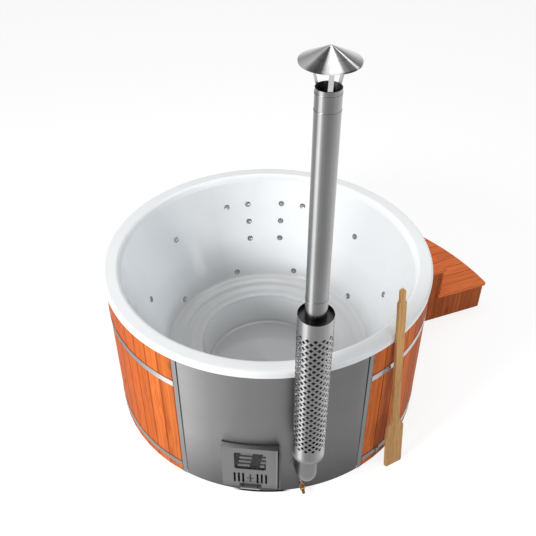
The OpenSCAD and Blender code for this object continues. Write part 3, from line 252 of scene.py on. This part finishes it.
def radial(azimuth):
    """Distance along the direction azimuth."""
    return lambda f: f.local(azimuth)[0]


def tangential(azimuth):
    """Distance across the direction azimuth."""
    return lambda f: f.local(azimuth)[1]


# Figure of the wood: its scale across, in the depth and along a board, and its shares
RING_SCALE, RING_TURNS, RING_SHARE = (16.0, 9.0, 0.9), 9.0, 0.34
FIBRE_SCALE, FIBRE_SHARE = (420.0, 300.0, 7.0), 0.34
BROAD_SCALE, BROAD_SHARE = (30.0, 20.0, 1.6), 0.42
KNOT_SCALE, KNOT_CORE, KNOT_EDGE, KNOT_SHARE, KNOT_TONE = (9.0, 5.0, 2.6), 0.03, 0.13, 0.8, 0.42
JOINT_CORE, JOINT_SHARE, JOINT_TONE = 0.3, 0.9, 0.36
BOARD_SHIFT, GREEN_POWER, BLUE_POWER = 7.0, 1.22, 1.4
FIBRE_RELIEF, RING_RELIEF, WOOD_DEPTH, WOOD_GLOSS = 0.7, 0.5, 0.0006, 0.05


def wood(name, board, across, deep, along, tones, tone=(0.84, 1.08), knots=0.55,
         rough=(0.42, 0.58), joint=0.03, tint=None):
    """Boards with fibres, growth rings, knots and a tone of their own.

    board: function of the finish giving a number for each board
    across, deep, along: functions giving the three directions of a board
    tones: light, middle and dark colour of the figure
    tone: least and greatest brightness of a board
    knots: share of the places for a knot that stay free
    joint: share of a board's width that is in the shade of the joint, at each edge
    tint: function giving painted light and shade by place, by which the colour is multiplied
    """
    f = Finish(name)
    light, middle, dark = tones
    number = board(f)
    value, colour = f.random(f.calc("FLOOR", number))
    shift = f.vector("SCALE", colour)
    shift.node.inputs["Scale"].default_value = BOARD_SHIFT
    place = f.vector("ADD", f.join(across(f), deep(f), along(f)), shift)

    rings = f.noise(f.vector("MULTIPLY", place, RING_SCALE), 1.0, 3.0, 0.55, 0.35)
    rings = f.calc("FRACT", f.calc("MULTIPLY", rings, RING_TURNS))
    rings = f.calc("MULTIPLY", rings, rings)
    fibre = f.noise(f.vector("MULTIPLY", place, FIBRE_SCALE), 1.0, 3.0, 0.6)
    broad = f.noise(f.vector("MULTIPLY", place, BROAD_SCALE), 1.0, 2.0, 0.5)
    figure = f.calc("ADD", f.calc("MULTIPLY", rings, RING_SHARE),
                    f.calc("ADD", f.calc("MULTIPLY", fibre, FIBRE_SHARE),
                           f.calc("MULTIPLY", broad, BROAD_SHARE)))
    base = f.ramp(figure, (0.22, light), (0.52, middle), (0.92, dark))

    cell = f.cells(f.vector("MULTIPLY", place, KNOT_SCALE), 1.0)
    near = f.span(cell["Distance"], KNOT_CORE, KNOT_EDGE, 1.0, 0.0)
    some = f.calc("GREATER_THAN", f.node("SeparateColor", cell["Color"]).outputs[0], knots)
    knot = f.calc("MULTIPLY", f.calc("MULTIPLY", near, some), KNOT_SHARE)
    base = f.mix(knot, base, tuple(KNOT_TONE * c for c in dark))

    own_tone = f.span(value, 0.0, 1.0, *tone)
    base = f.times(base, f.join(own_tone, f.calc("POWER", own_tone, GREEN_POWER),
                                f.calc("POWER", own_tone, BLUE_POWER)))
    if joint:
        off_middle = f.calc("ABSOLUTE", f.calc("SUBTRACT", f.calc("FRACT", number), 0.5))
        shade = f.span(off_middle, 0.5 - joint, 0.5 - JOINT_CORE * joint)
        base = f.mix(f.calc("MULTIPLY", shade, JOINT_SHARE), base,
                     tuple(JOINT_TONE * c for c in dark))
    if tint:
        base = f.times(base, tint(f))
    relief = f.calc("SUBTRACT", f.calc("MULTIPLY", fibre, FIBRE_RELIEF),
                    f.calc("MULTIPLY", rings, RING_RELIEF))
    f.set(Base_Color=base, Roughness=f.span(figure, 0.2, 0.9, rough[1], rough[0]),
          Normal=f.bump(relief, WOOD_DEPTH, 0.55), Specular_IOR_Level=WOOD_GLOSS)
    return f.mat


# Sheet metal and paint: depth of the brush lines, and changes of tone
LINE_DEPTH, CLOUD_TONE, GRAIN_TONE = 0.00005, 0.05, 0.10


def steel(name, tint, rough, brushed, brush, dull=None):
    """Sheet metal with brush lines and a slow change of tone.

    tint: a colour, or a function giving the colour by place with painted light and shade
    rough: roughness between the lines and on them
    brushed: the three scales of the lines, long along the smallest
    brush: how much the lines change the tone
    dull: function giving a roughness to add by place
    """
    f = Finish(name)
    lines = f.noise(f.vector("MULTIPLY", f.join(*f.local(PANEL_AZ)), brushed), 1.0, 4.0, 0.62)
    cloud = f.noise(f.at, 3.1, 3.0, 0.55)
    value = f.calc("ADD", f.span(lines, 0.25, 0.75, 1.0 - brush, 1.0 + brush),
                   f.vary(cloud, -CLOUD_TONE, CLOUD_TONE))
    roughness = f.vary(lines, *rough)
    if dull:
        roughness = f.calc("ADD", roughness, dull(f))
    f.set(Base_Color=f.times(tint(f) if callable(tint) else tint, f.grey(value)),
          Roughness=roughness, Normal=f.bump(lines, LINE_DEPTH, 0.6), Metallic=1.0)
    return f.mat


def plain(name, tint, rough, grain=240.0, relief=0.0001):
    """Paint, plastic or casting: a fine grain, and a slow change of tone."""
    f = Finish(name)
    fine = f.noise(f.at, grain, 2.0, 0.5)
    slow = f.noise(f.at, 9.0, 3.0, 0.6)
    value = f.calc("ADD", f.vary(fine, 1.0 - GRAIN_TONE, 1.0 + GRAIN_TONE),
                   f.vary(slow, -GRAIN_TONE, GRAIN_TONE))
    f.set(Base_Color=f.times(tint, f.grey(value)), Normal=f.bump(fine, relief, 0.7),
          Roughness=f.vary(slow, rough * 0.85, rough * 1.2))
    return f.mat


# Boards of the cladding, the steps, the frame and the paddle
ORANGE = ((0.83, 0.230, 0.054), (0.64, 0.150, 0.031), (0.42, 0.080, 0.015))
PALE = ((1.0, 0.310, 0.105), (0.94, 0.225, 0.070), (0.70, 0.136, 0.038))
DEEP = ((0.57, 0.160, 0.052), (0.435, 0.107, 0.032), (0.285, 0.058, 0.017))
RAW = ((0.62, 0.42, 0.24), (0.50, 0.31, 0.16), (0.33, 0.19, 0.09))
PINE = ((0.75, 0.43, 0.165), (0.63, 0.337, 0.117), (0.435, 0.21, 0.065))
# Painted shadow line over a band: its height over the edge, half its core and half its width
BAND_SHADOW_RISE, BAND_SHADOW_CORE, BAND_SHADOW_EDGE, BAND_SHADOW_TONE = 0.0028, 0.0020, 0.0036, 0.30
# Boards of the frame to the metre, outwards, and the number of the paddle's one board
TIMBER_BOARDS, PADDLE_BOARD = 3.0, 3.0


def stave_board(f):
    """Board numbers round the tub, from the panel's right edge on."""
    past_first = f.calc("FLOORED_MODULO", f.calc("SUBTRACT", f.angle(), CLAD_FROM), 360.0)
    return f.calc("DIVIDE", past_first, STAVE_PITCH)


def stave_painted_shade(f):
    """Painted light and shade round the tub: darker round the sides, and a painted shadow line
    on top of each band.
    """
    # Painted light and shade by the azimuth
    tone = f.ramp(f.turn(), (0.0, (0.84, 0.72, 0.56)), (0.045, (0.80, 0.66, 0.50)),
                  (0.08, (0.82, 0.70, 0.54)), (0.108, (0.88, 0.76, 0.58)),
                  (0.155, (0.93, 0.98, 1.0)), (0.30, 1.0), (0.335, 0.85), (0.37, 0.94),
                  (0.395, (1.0, 0.98, 0.93)), (0.415, (0.84, 0.78, 0.70)),
                  (0.45, (0.66, 0.58, 0.50)), (0.60, 1.0), (0.90, 1.0),
                  (1.0, (0.84, 0.72, 0.56)))
    # Painted shadow: a dark line just above the top of each band
    for top in BAND_TOPS:
        off_line = f.calc("ABSOLUTE", f.calc("SUBTRACT", height(f), top + BAND_SHADOW_RISE))
        tone = f.times(tone, f.grey(f.span(off_line, BAND_SHADOW_CORE, BAND_SHADOW_EDGE, BAND_SHADOW_TONE, 1.0)))
    return tone


def tread_board(f):
    """Board numbers that change in the middle of the gaps."""
    return f.calc("DIVIDE", f.calc("ADD", f.local(STEPS_AZ)[1], BOARD_GAP / 2), BOARD_PITCH)


def end_board(azimuth):
    return lambda f: f.calc("DIVIDE", f.calc("SUBTRACT", f.local(azimuth)[0], END_FROM),
                            END_PITCH)


def riser_board(f):
    return f.calc("DIVIDE", f.calc("SUBTRACT", f.angle(), STEPS_AZ), RISER_PITCH)


def timber_board(f):
    return f.calc("MULTIPLY", outward(f), TIMBER_BOARDS)


def paddle_painted_light(f):
    """Painted light: the shaft brighter, the blade darker and bluer as in shade."""
    return f.ramp(height(f), (0.62, (0.82, 0.85, 1.0)), (0.97, (1.06, 1.08, 1.2)))


def end_wall(name, azimuth):
    return wood(name, end_board(azimuth), radial(azimuth), tangential(azimuth), height, DEEP)


staves = wood("stained_boards", stave_board, round_tub, outward, height, ORANGE, joint=0.042,
              knots=0.62, tint=stave_painted_shade)
treads = wood("tread_boards", tread_board, tangential(STEPS_AZ), height, radial(STEPS_AZ), PALE,
              joint=0.026, tone=(0.93, 1.04), knots=0.62)
ends_near = end_wall("end_boards_near", STEPS_AZ)
ends_far = end_wall("end_boards_far", STEPS_AZ + STEPS_SPAN)
risers = wood("riser_boards", riser_board, round_tub, outward, height, DEEP)
timber = wood("frame_timber", timber_board, round_tub, outward, height, RAW, rough=(0.6, 0.75),
              joint=0.0)
pine = wood("pale_pine", lambda f: PADDLE_BOARD, tangential(PADDLE_AZ), radial(PADDLE_AZ),
            height, PINE, tone=(0.9, 1.0), rough=(0.5, 0.65), joint=0.0, tint=paddle_painted_light)


# Liner: height where the seat's painted shade gives way to the wall's painted light and shade
SEAT_TO_WALL = (0.33, 0.42)


def gelcoat(name):
    """White liner, with painted shade lower down, and painted light and shade round the wall and
    its lip.
    """
    f = Finish(name)
    slow = f.noise(f.at, 2.4, 3.0, 0.5)
    fine = f.noise(f.at, 60.0, 2.0, 0.5)
    tone = f.vary(slow, 0.985, 1.0)
    z = height(f)
    # Painted shade: darker on the floor, in the creases and on the seat than on the wall
    depth = f.ramp(z, (0.085, (0.46, 0.465, 0.47)), (0.11, (0.66, 0.67, 0.675)),
                   (0.28, (0.80, 0.815, 0.825)), (0.303, (0.51, 0.52, 0.525)),
                   (0.34, (0.56, 0.57, 0.58)), (0.45, (0.69, 0.705, 0.715)),
                   (0.62, (0.78, 0.795, 0.805)))
    turn = f.turn()
    # Painted shade on the seat and floor: darker at the left and the back left
    low = f.ramp(turn, (0.0, 0.88), (0.12, 0.96), (0.30, 1.0), (0.80, 1.0), (0.90, 0.92),
                 (1.0, 0.88))
    # Painted light and shade on the wall: brighter and bluer at the left, brighter at the back
    # right, darker at the back left
    wall = f.ramp(turn, (0.0, (1.22, 1.24, 1.26)), (0.12, 1.0), (0.60, 0.99),
                  (0.68, (1.17, 1.17, 1.16)), (0.75, 1.03), (0.82, (0.86, 0.865, 0.87)),
                  (0.90, (0.97, 0.985, 1.0)), (1.0, (1.22, 1.24, 1.26)))
    # Painted light on the lip: brightest at the right, darkest at the front
    lip = f.ramp(turn, (0.0, 1.05), (0.25, 0.94), (0.42, 1.02), (0.50, 1.16), (0.62, 1.08),
                 (0.75, 1.02), (1.0, 1.05))
    side = f.mix(f.span(z, *SEAT_TO_WALL), low, wall)
    depth = f.times(depth, f.mix(f.span(z, *RIM_LIP), side, lip))
    f.set(Base_Color=f.times(depth, f.grey(tone)), Normal=f.bump(slow, 0.0015, 0.5),
          Roughness=f.vary(fine, 0.15, 0.22), Coat_Weight=0.6, Coat_Roughness=0.06,
          Specular_IOR_Level=0.5)
    return f.mat


# Painted reflections on the polished tubes: greys that change round the flue's axis, as
# (azimuth, grey) pairs
PIPE_PAINTED_REFLECTIONS = ((-180, 0.22), (-168, 0.25), (-148, 0.18), (-141, 0.23), (-133, 0.55), (-124, 0.62),
              (-117, 0.30), (-108, 0.18), (-92, 0.155), (-75, 0.18), (-58, 0.26), (-38, 0.38),
              (-15, 0.40), (20, 0.24), (52, 0.55), (78, 0.72), (100, 0.40), (130, 0.20),
              (158, 0.26), (180, 0.30))
# The guard's painted reflections are brighter than the pipes', most of all where these are dark
BRIGHT_FROM, DARK_LIFT, BRIGHT_LIFT = 0.5, 1.15, 1.05
GUARD_PAINTED_REFLECTIONS = tuple((place, tone * (DARK_LIFT if tone < BRIGHT_FROM else BRIGHT_LIFT))
                    for place, tone in PIPE_PAINTED_REFLECTIONS)
# Painted reflections on the rain cap, as (azimuth, grey) pairs
CAP_PAINTED_REFLECTIONS = ((-180, 0.20), (-160, 0.34), (-147, 0.40), (-136, 0.10), (-122, 0.04), (-112, 0.06),
             (-103, 0.62), (-92, 0.86), (-80, 0.80), (-70, 0.12), (-58, 0.04), (-46, 0.05),
             (-40, 0.58), (-34, 0.10), (-20, 0.22), (5, 0.48), (28, 0.60), (48, 0.22),
             (70, 0.66), (92, 0.80), (112, 0.24), (132, 0.50), (155, 0.36), (180, 0.20))
GUARD_DULL = 0.28


def painted_reflection(stops):
    """Function giving the painted reflections, a grey by the azimuth round the flue's axis."""
    def shade(f):
        return f.ramp(f.turn(FLUE_AXIS), *(((place + 180.0) / 360.0, tone)
                                           for place, tone in stops))
    return shade


def guard_shade(f):
    """Painted shade on the inside, an even grey below the holes, and painted reflections above
    them.
    """
    face = f.mix(f.span(height(f), *GUARD_PLAIN), 0.27, painted_reflection(GUARD_PAINTED_REFLECTIONS)(f))
    return f.beyond(off_flue(f), GUARD_INSIDE, (0.035, 0.035, 0.036), face)


def guard_dull(f):
    """Rougher below the holes."""
    return f.span(height(f), *GUARD_PLAIN, GUARD_DULL, 0.0)


def tube_shade(f):
    """Painted shade where the guard covers it, and painted reflections above."""
    return f.beyond(height(f), GUARD_TOP, (0.045, 0.044, 0.043), painted_reflection(PIPE_PAINTED_REFLECTIONS)(f))


# Panel, bands and trims
PANEL_SPAN, TRIM_SHADE = (-124.0, -56.0), 1.0


def panel_shade(f):
    """Painted light and shade: brighter to the left, darker towards the ground, and painted
    shade at both trims.
    """
    round_tone = f.ramp(f.span(f.angle(), *PANEL_SPAN), (0.0, 0.46), (0.08, 0.40),
                        (0.20, 0.27), (0.38, 0.19), (0.52, 0.172), (0.78, 0.140), (0.92, 0.15),
                        (1.0, 0.19))
    low_tone = f.ramp(height(f), (0.0, 0.44), (0.10, 0.56), (0.25, 0.80), (0.45, 1.0))
    off_middle = f.calc("ABSOLUTE", f.calc("SUBTRACT", f.angle(), PANEL_AZ))
    edge = f.ramp(f.span(off_middle, PANEL_HALF - TRIM_SHADE, PANEL_HALF),
                  (0.45, 1.0), (0.60, 0.22))
    return f.times(f.times(round_tone, low_tone), edge)


def band_shade(f):
    """Painted light and shade on the bands: bright next to the panel, dark at the far left, the
    lower one duller.
    """
    turn = f.turn()
    upper = f.ramp(turn, (0.0, 0.04), (0.070, 0.045), (0.092, 0.20), (0.115, 0.30),
                   (0.135, 0.50), (0.15, 0.85), (0.34, 0.42), (0.40, 0.55), (0.55, 0.40),
                   (0.80, 0.34), (1.0, 0.04))
    lower = f.ramp(turn, (0.0, 0.26), (0.15, 0.27), (0.34, 0.16), (0.385, 0.17), (0.40, 0.50),
                   (0.55, 0.35), (1.0, 0.26))
    return f.beyond(height(f), BETWEEN_BANDS, lower, upper)


def trim_shade(f):
    """Painted light and shade: the left trim lighter than the right one, both darker towards the
    ground.
    """
    tone = f.beyond(f.angle(), PANEL_AZ, (0.34, 0.34, 0.345), (0.19, 0.195, 0.20))
    return f.times(tone, f.ramp(height(f), (0.0, 0.75), (0.5, 1.0)))


# The stove's front, by the distance outwards and across
# Painted shade: black at the hinge and on the handle's stand-offs, and a shaded grey past the
# hinge's middle
SHADE_BLACK, SHADE_GREY, FACE_MARGIN = 0.02, 0.12, 0.001
stove_out, stove_across = radial(STOVE_AZ), tangential(STOVE_AZ)


def ground_shade(f):
    """Painted shade: darker near the ground."""
    return f.ramp(height(f), (0.05, 0.66), (0.12, 1.0))


def hinge_shade(f, face):
    """Painted shade: black from the door's edge to the middle of the hinge, and a shaded grey
    beyond it.
    """
    across = stove_across(f)
    side = f.beyond(across, HINGE_MIDDLE, SHADE_BLACK, SHADE_GREY)
    return f.beyond(across, DOOR_EDGE, face, side)


def door_shade(f):
    """Painted light and shade: darker to the right and towards the ground, with a painted
    highlight along the hinged edge.
    """
    across = f.span(stove_across(f), -DOOR_EDGE, DOOR_EDGE)
    face = f.ramp(across, (0.0, 0.215), (0.75, 0.210), (0.968, 0.188), (0.985, 0.26))
    return hinge_shade(f, f.times(face, ground_shade(f)))


def hood_shade(f):
    """Painted light and shade: the frame's upper face lighter to the left, its front darker
    towards the ground.
    """
    across = f.span(stove_across(f), -HOOD_HALF, HOOD_HALF)
    front = hinge_shade(f, f.times(0.20, ground_shade(f)))
    top = f.ramp(across, (0.0, 0.31), (0.2, 0.32), (0.4, 0.29), (1.0, 0.18))
    return f.beyond(height(f), HOOD_TOP - FACE_MARGIN, front, top)


def handle_shade(f):
    """A bright bar on stand-offs that are painted black, as in shade."""
    return f.beyond(stove_out(f), HANDLE_BAR, SHADE_BLACK, (0.38, 0.38, 0.385))


def slide_shade(f):
    """Painted light on the plate behind the door, which lies in shade there; the tab in front of
    the door is black.
    """
    return f.beyond(stove_out(f), DOOR_FACE - 2 * FACE_MARGIN, (0.48, 0.48, 0.485), 0.03)


def slat_shade(f):
    """Light slats, and painted shade on the plate behind them."""
    out = f.span(stove_out(f), SLAT_FROM, SLAT_FROM + FACE_MARGIN)
    return f.mix(out, (0.035, 0.035, 0.036), (0.43, 0.43, 0.435))


# The lever's colours along its height: metal foot, dipped red, grey and black end
LEVER_FOOT, LEVER_GREY, LEVER_END = (0.058, 0.062), (0.108, 0.110), (0.136, 0.138)


def lever_finish(name):
    """The lever and its dipped grip, in bands of colour."""
    f = Finish(name)
    z = height(f)
    fine = f.noise(f.at, 300.0, 2.0, 0.5)
    foot = f.span(z, *LEVER_FOOT, 1.0, 0.0)
    colour = f.mix(f.span(z, *LEVER_GREY), (0.50, 0.045, 0.028), (0.22, 0.22, 0.215))
    colour = f.mix(f.span(z, *LEVER_END), colour, 0.012)
    colour = f.mix(foot, colour, (0.34, 0.34, 0.33))
    f.set(Base_Color=colour, Roughness=f.vary(fine, 0.32, 0.45),
          Normal=f.bump(fine, 0.0001, 0.6), Metallic=f.calc("MULTIPLY", foot, 0.9))
    return f.mat


def smoked_glass(name):
    """Dark glass with soot on its inside."""
    f = Finish(name)
    soot = f.noise(f.at, 14.0, 3.0, 0.5)
    f.set(Base_Color=f.mix(f.vary(soot), (0.030, 0.029, 0.028), (0.06, 0.058, 0.055)),
          Roughness=f.vary(soot, 0.06, 0.12), Alpha=f.vary(soot, 0.22, 0.30),
          Specular_IOR_Level=0.25)
    return f.mat


# Roughness and brush lines that several finishes share
SATIN = (0.36, 0.46)
TUBE_LINES, PLATE_LINES, STRAP_LINES = (30.0, 30.0, 3.0), (60.0, 3.0, 300.0), (20.0, 4.0, 200.0)
GRILLE_LINES, JET_GRAIN = (60.0, 6.0, 200.0), (90.0, 90.0, 90.0)

shell = gelcoat("white_gelcoat")
lever = lever_finish("valve_grip")
glass = smoked_glass("stove_glass")
# Metals: name, tint, roughness, scales of the brush lines and how much these change the tone
pipe = steel("polished_tube", tube_shade, (0.20, 0.32), TUBE_LINES, 0.04)
perforated = steel("perforated_sheet", guard_shade, (0.24, 0.34), TUBE_LINES, 0.04, guard_dull)
cap_metal = steel("mirror_cap", painted_reflection(CAP_PAINTED_REFLECTIONS), (0.10, 0.20), (40.0, 40.0, 40.0), 0.03)
elbow_steel = steel("satin_elbow", 0.188, (0.34, 0.42), TUBE_LINES, 0.04)
panel = steel("brushed_panel", panel_shade, SATIN, (60.0, 2.0, 260.0), 0.06)
door_steel = steel("door_plate", door_shade, SATIN, PLATE_LINES, 0.07)
frame_steel = steel("frame_plate", hood_shade, SATIN, PLATE_LINES, 0.07)
slide_steel = steel("slide_plate", slide_shade, SATIN, PLATE_LINES, 0.07)
# Painted shade: the drawer's front is near black, as in the shade of its recess
shaded_drawer = steel("drawer_plate", 0.04, SATIN, PLATE_LINES, 0.07)
handle_steel = steel("handle_bar", handle_shade, (0.24, 0.34), STRAP_LINES, 0.06)
bright = steel("bright_strap", (0.52, 0.52, 0.525), (0.22, 0.32), STRAP_LINES, 0.06)
banding = steel("steel_banding", band_shade, (0.26, 0.36), STRAP_LINES, 0.05)
trimming = steel("trim_strip", trim_shade, (0.28, 0.38), (20.0, 20.0, 4.0), 0.05)
grille = steel("grille_plate", (0.12, 0.12, 0.122), (0.40, 0.5), GRILLE_LINES, 0.08)
slats = steel("window_slats", slat_shade, (0.40, 0.5), GRILLE_LINES, 0.06)
chrome = steel("jet_trim", (0.30, 0.315, 0.31), (0.16, 0.26), JET_GRAIN, 0.10)
nozzle = steel("jet_nozzle", (0.82, 0.83, 0.83), (0.10, 0.18), JET_GRAIN, 0.08)
brass = steel("turned_brass", (0.60, 0.42, 0.17), (0.25, 0.38), (200.0, 200.0, 200.0), 0.10)
# Paint, plastic and castings: name, tint and roughness
black = plain("stove_black", 0.025, 0.6)
iron = plain("cast_iron", (0.05, 0.048, 0.046), 0.7, grain=160.0, relief=0.0004)
spacer = plain("spacer_black", 0.012, 0.45)
plastic = plain("grey_pipe_plastic", (0.10, 0.10, 0.105), 0.5)
housing = plain("blower_housing", (0.03, 0.03, 0.032), 0.45)
drain = plain("drain_plastic", (0.18, 0.185, 0.19), 0.5)
# Black of the bead that stands for the shade over the stove's frame
bead_black = plain("shade_bead_black", (0.008, 0.008, 0.009), 0.7)

# The finish of each CAD node
FINISHES = {
    "liner": shell, "port_grilles": shell,
    "staves_left": staves, "staves_back": staves, "staves_right": staves,
    "tread_lower": treads, "tread_upper": treads, "riser_boards": risers,
    "step_end_near": ends_near, "step_end_far": ends_far,
    "base_joists": timber, "floor_deck": timber, "bench_posts": timber, "wall_posts": timber,
    "backing_rings": timber, "panel_rails": timber, "step_carriers": timber,
    "stirring_paddle": pine,
    "front_panel": panel, "trim_left": trimming, "trim_right": trimming,
    "band_upper": banding, "band_lower": banding, "band_locks": bright,
    "stove_frame": frame_steel, "hinge_pin": bright, "furnace_door": door_steel,
    "window_glass": glass, "window_grille": slats, "air_slide": slide_steel,
    "slide_guides": grille, "ash_drawer": shaded_drawer, "drawer_handle": handle_steel,
    "drawer_runners": black, "firebox": black, "firebox_feet": black, "smoke_duct": black,
    "fire_grate": iron, "heater_pipes": bright,
    "flue_elbow": elbow_steel, "flue_flange": panel, "flue_pipe_lower": pipe,
    "flue_pipe_upper": pipe, "pipe_band": pipe, "flue_guard": perforated,
    "guard_reducer": elbow_steel, "guard_spacer": spacer, "rain_cap": cap_metal,
    "cap_straps": bright, "jet_rings": chrome, "jet_nozzles": nozzle, "jet_bodies": plastic,
    "air_manifold": plastic, "air_blower": housing, "drain_strainer": chrome,
    "drain_pipe": drain, "valve_body": brass, "valve_lever": lever,
}
for name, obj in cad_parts.items():
    for material_slot in obj.material_slots:
        material_slot.material = FINISHES[name]


# Two small pieces that the CAD lacks
def loft(name, rings, finish, body):
    """A closed piece between rings of points, which rides on a body."""
    work = bmesh.new()
    loops = [[work.verts.new(point) for point in ring] for ring in rings]
    for one, two in zip(loops, loops[1:]):
        for k in range(len(one)):
            j = (k + 1) % len(one)
            work.faces.new((one[k], one[j], two[j], two[k]))
    work.faces.new(list(reversed(loops[0])))
    work.faces.new(loops[-1])
    bmesh.ops.recalc_face_normals(work, faces=work.faces)
    mesh = bpy.data.meshes.new(name)
    work.to_mesh(mesh)
    work.free()
    for face in mesh.polygons:
        face.use_smooth = True
    mesh.materials.append(finish)
    obj = bpy.data.objects.new(name, mesh)
    bpy.context.scene.collection.objects.link(obj)
    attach(obj, body)


# Black bead over the stove's frame, tapered at both ends: a dark piece that stands for the shade
# in the gap where the frame meets the panel
BEAD_R, BEAD_REST, BEAD_TAPER, BEAD_COUNT, BEAD_SIDES = 0.0026, 0.9, 0.55, 41, 12


def bead_points():
    """Along the upper edge of the frame, on the panel's face."""
    reach, r = math.asin(HOOD_HALF), TUB_R + BEAD_R
    turns = [reach * (2 * k / (BEAD_COUNT - 1) - 1) for k in range(BEAD_COUNT)]
    return [polar(STOVE_AZ, r * math.cos(a), r * math.sin(a), HOOD_TOP + BEAD_R * BEAD_REST)
            for a in turns]


def bead_rings(points):
    """Rings across the bead, one at each of the points along it."""
    last = len(points) - 1
    for k, point in enumerate(points):
        ahead = (points[min(k + 1, last)] - points[max(k - 1, 0)]).normalized()
        side = ahead.cross(Vector((0, 0, 1))).normalized()
        up = side.cross(ahead)
        radius = BEAD_R * (BEAD_TAPER if k in (0, last) else 1.0)
        turns = (2 * math.pi * j / BEAD_SIDES for j in range(BEAD_SIDES))
        yield [point + radius * (math.cos(a) * side + math.sin(a) * up) for a in turns]


loft("hood_shade_bead", bead_rings(bead_points()), bead_black, "tub")

# Dipped grip round the valve's lever: (place along the lever, share of the full section)
GRIP_HALF, GRIP_ROUND, GRIP_SIDES = (0.0100, 0.0048), 0.0034, 24
GRIP_LENGTHS = ((0.036, 0.86), (0.039, 1.0), (0.070, 1.0), (0.074, 0.94), (0.078, 1.0),
                (0.106, 1.04), (0.114, 0.96), (0.119, 0.72), (0.121, 0.36))


def grip_ring(along, share):
    """A rounded rectangle round the lever."""
    roll = Matrix.Rotation(math.radians(VALVE_ROLL), 3, "X")
    turn_out = Matrix.Rotation(math.radians(FLUE_AZ), 3, "Z")
    for k in range(GRIP_SIDES):
        a = 2 * math.pi * (k + 0.5) / GRIP_SIDES
        x, y = [math.copysign(half - GRIP_ROUND, way) + GRIP_ROUND * way
                for half, way in zip(GRIP_HALF, (math.cos(a), math.sin(a)))]
        at = roll @ Vector((x * share, LEVER_Y + y * share, along))
        yield turn_out @ (at + Vector((VALVE_X, 0, VALVE_Z)))


loft("lever_grip", [grip_ring(*section) for section in GRIP_LENGTHS], lever, "drain_lever")

# Floor, with a line of shade where the panel meets the ground under the stove: its outer edge,
# and its two ends in degrees
FLOOR_SIZE, FLOOR_DROP, FLOOR_TONE, FLOOR_SEEN, FLOOR_GLOW = 60.0, 0.0005, 0.80, 0.30, 0.80
SHADE_REACH, SHADE_FROM, SHADE_TO = (1.003, 1.006), (-104.0, -101.0), (-86.5, -84.0)
floor_mesh = bpy.data.meshes.new("floor")
floor_mesh.from_pydata([(x * FLOOR_SIZE, y * FLOOR_SIZE, -FLOOR_DROP)
                        for x, y in ((-1, -1), (1, -1), (1, 1), (-1, 1))], [], [(0, 1, 2, 3)])
floor = bpy.data.objects.new("floor", floor_mesh)
bpy.context.scene.collection.objects.link(floor)


def floor_finish():
    """Pale, and almost white by itself where the background is seen, with the shadows on it."""
    f = Finish("pale_floor")
    seen = seen_rays(f.tree)
    speck = f.noise(f.at, 30.0, 2.0, 0.5)
    # Painted shade: a dark line on the floor along the foot of the panel under the stove
    azimuth = f.angle()
    sides = f.calc("MAXIMUM", f.span(azimuth, *SHADE_FROM, 1.0, 0.0),
                   f.span(azimuth, *SHADE_TO))
    unshaded = f.calc("MAXIMUM", f.span(outward(f), *SHADE_REACH), sides)
    tone = f.calc("MULTIPLY", f.vary(speck, 0.985, 1.0), unshaded)
    colour = f.mix(seen, FLOOR_TONE, FLOOR_SEEN)
    f.set(Base_Color=f.times(colour, f.grey(tone)), Roughness=1.0, Specular_IOR_Level=0.0,
          Emission_Color=1.0,
          Emission_Strength=f.calc("MULTIPLY", f.calc("MULTIPLY", seen, FLOOR_GLOW), unshaded))
    return f.mat


floor_mesh.materials.append(floor_finish())

# White background, which lights the object less than it shows
WORLD_LIGHT, WORLD_SEEN = 0.40, 1.0
world = bpy.data.worlds.new("studio")
bpy.context.scene.world = world
world.use_nodes = True
background = world.node_tree.nodes["Background"]
strength = world.node_tree.nodes.new("ShaderNodeMapRange")
world.node_tree.links.new(seen_rays(world.node_tree), strength.inputs["Value"])
strength.inputs["To Min"].default_value = WORLD_LIGHT
strength.inputs["To Max"].default_value = WORLD_SEEN
background.inputs["Color"].default_value = (1.0, 1.0, 1.0, 1.0)
world.node_tree.links.new(strength.outputs[0], background.inputs["Strength"])


def lamp(name, place, aim_height, size, watts, colour=(1, 1, 1)):
    """A round lamp that points at a height on the tub's axis."""
    data = bpy.data.lights.new(name, "AREA")
    data.shape, data.size, data.energy, data.color = "DISK", size, watts, colour
    obj = bpy.data.objects.new(name, data)
    obj.location = place
    ahead = Vector((0, 0, aim_height)) - Vector(place)
    obj.rotation_euler = ahead.to_track_quat("-Z", "Y").to_euler()
    bpy.context.scene.collection.objects.link(obj)


lamp("key", (-4.5, -4.4, 4.0), aim_height=0.5, size=1.8, watts=400)
lamp("fill", (4.4, -4.2, 3.4), aim_height=0.4, size=3.0, watts=75, colour=(0.90, 0.95, 1.0))
lamp("top", (0.6, 1.2, 5.2), aim_height=0.3, size=3.0, watts=45)

bpy.context.scene.view_settings.view_transform = "Standard"
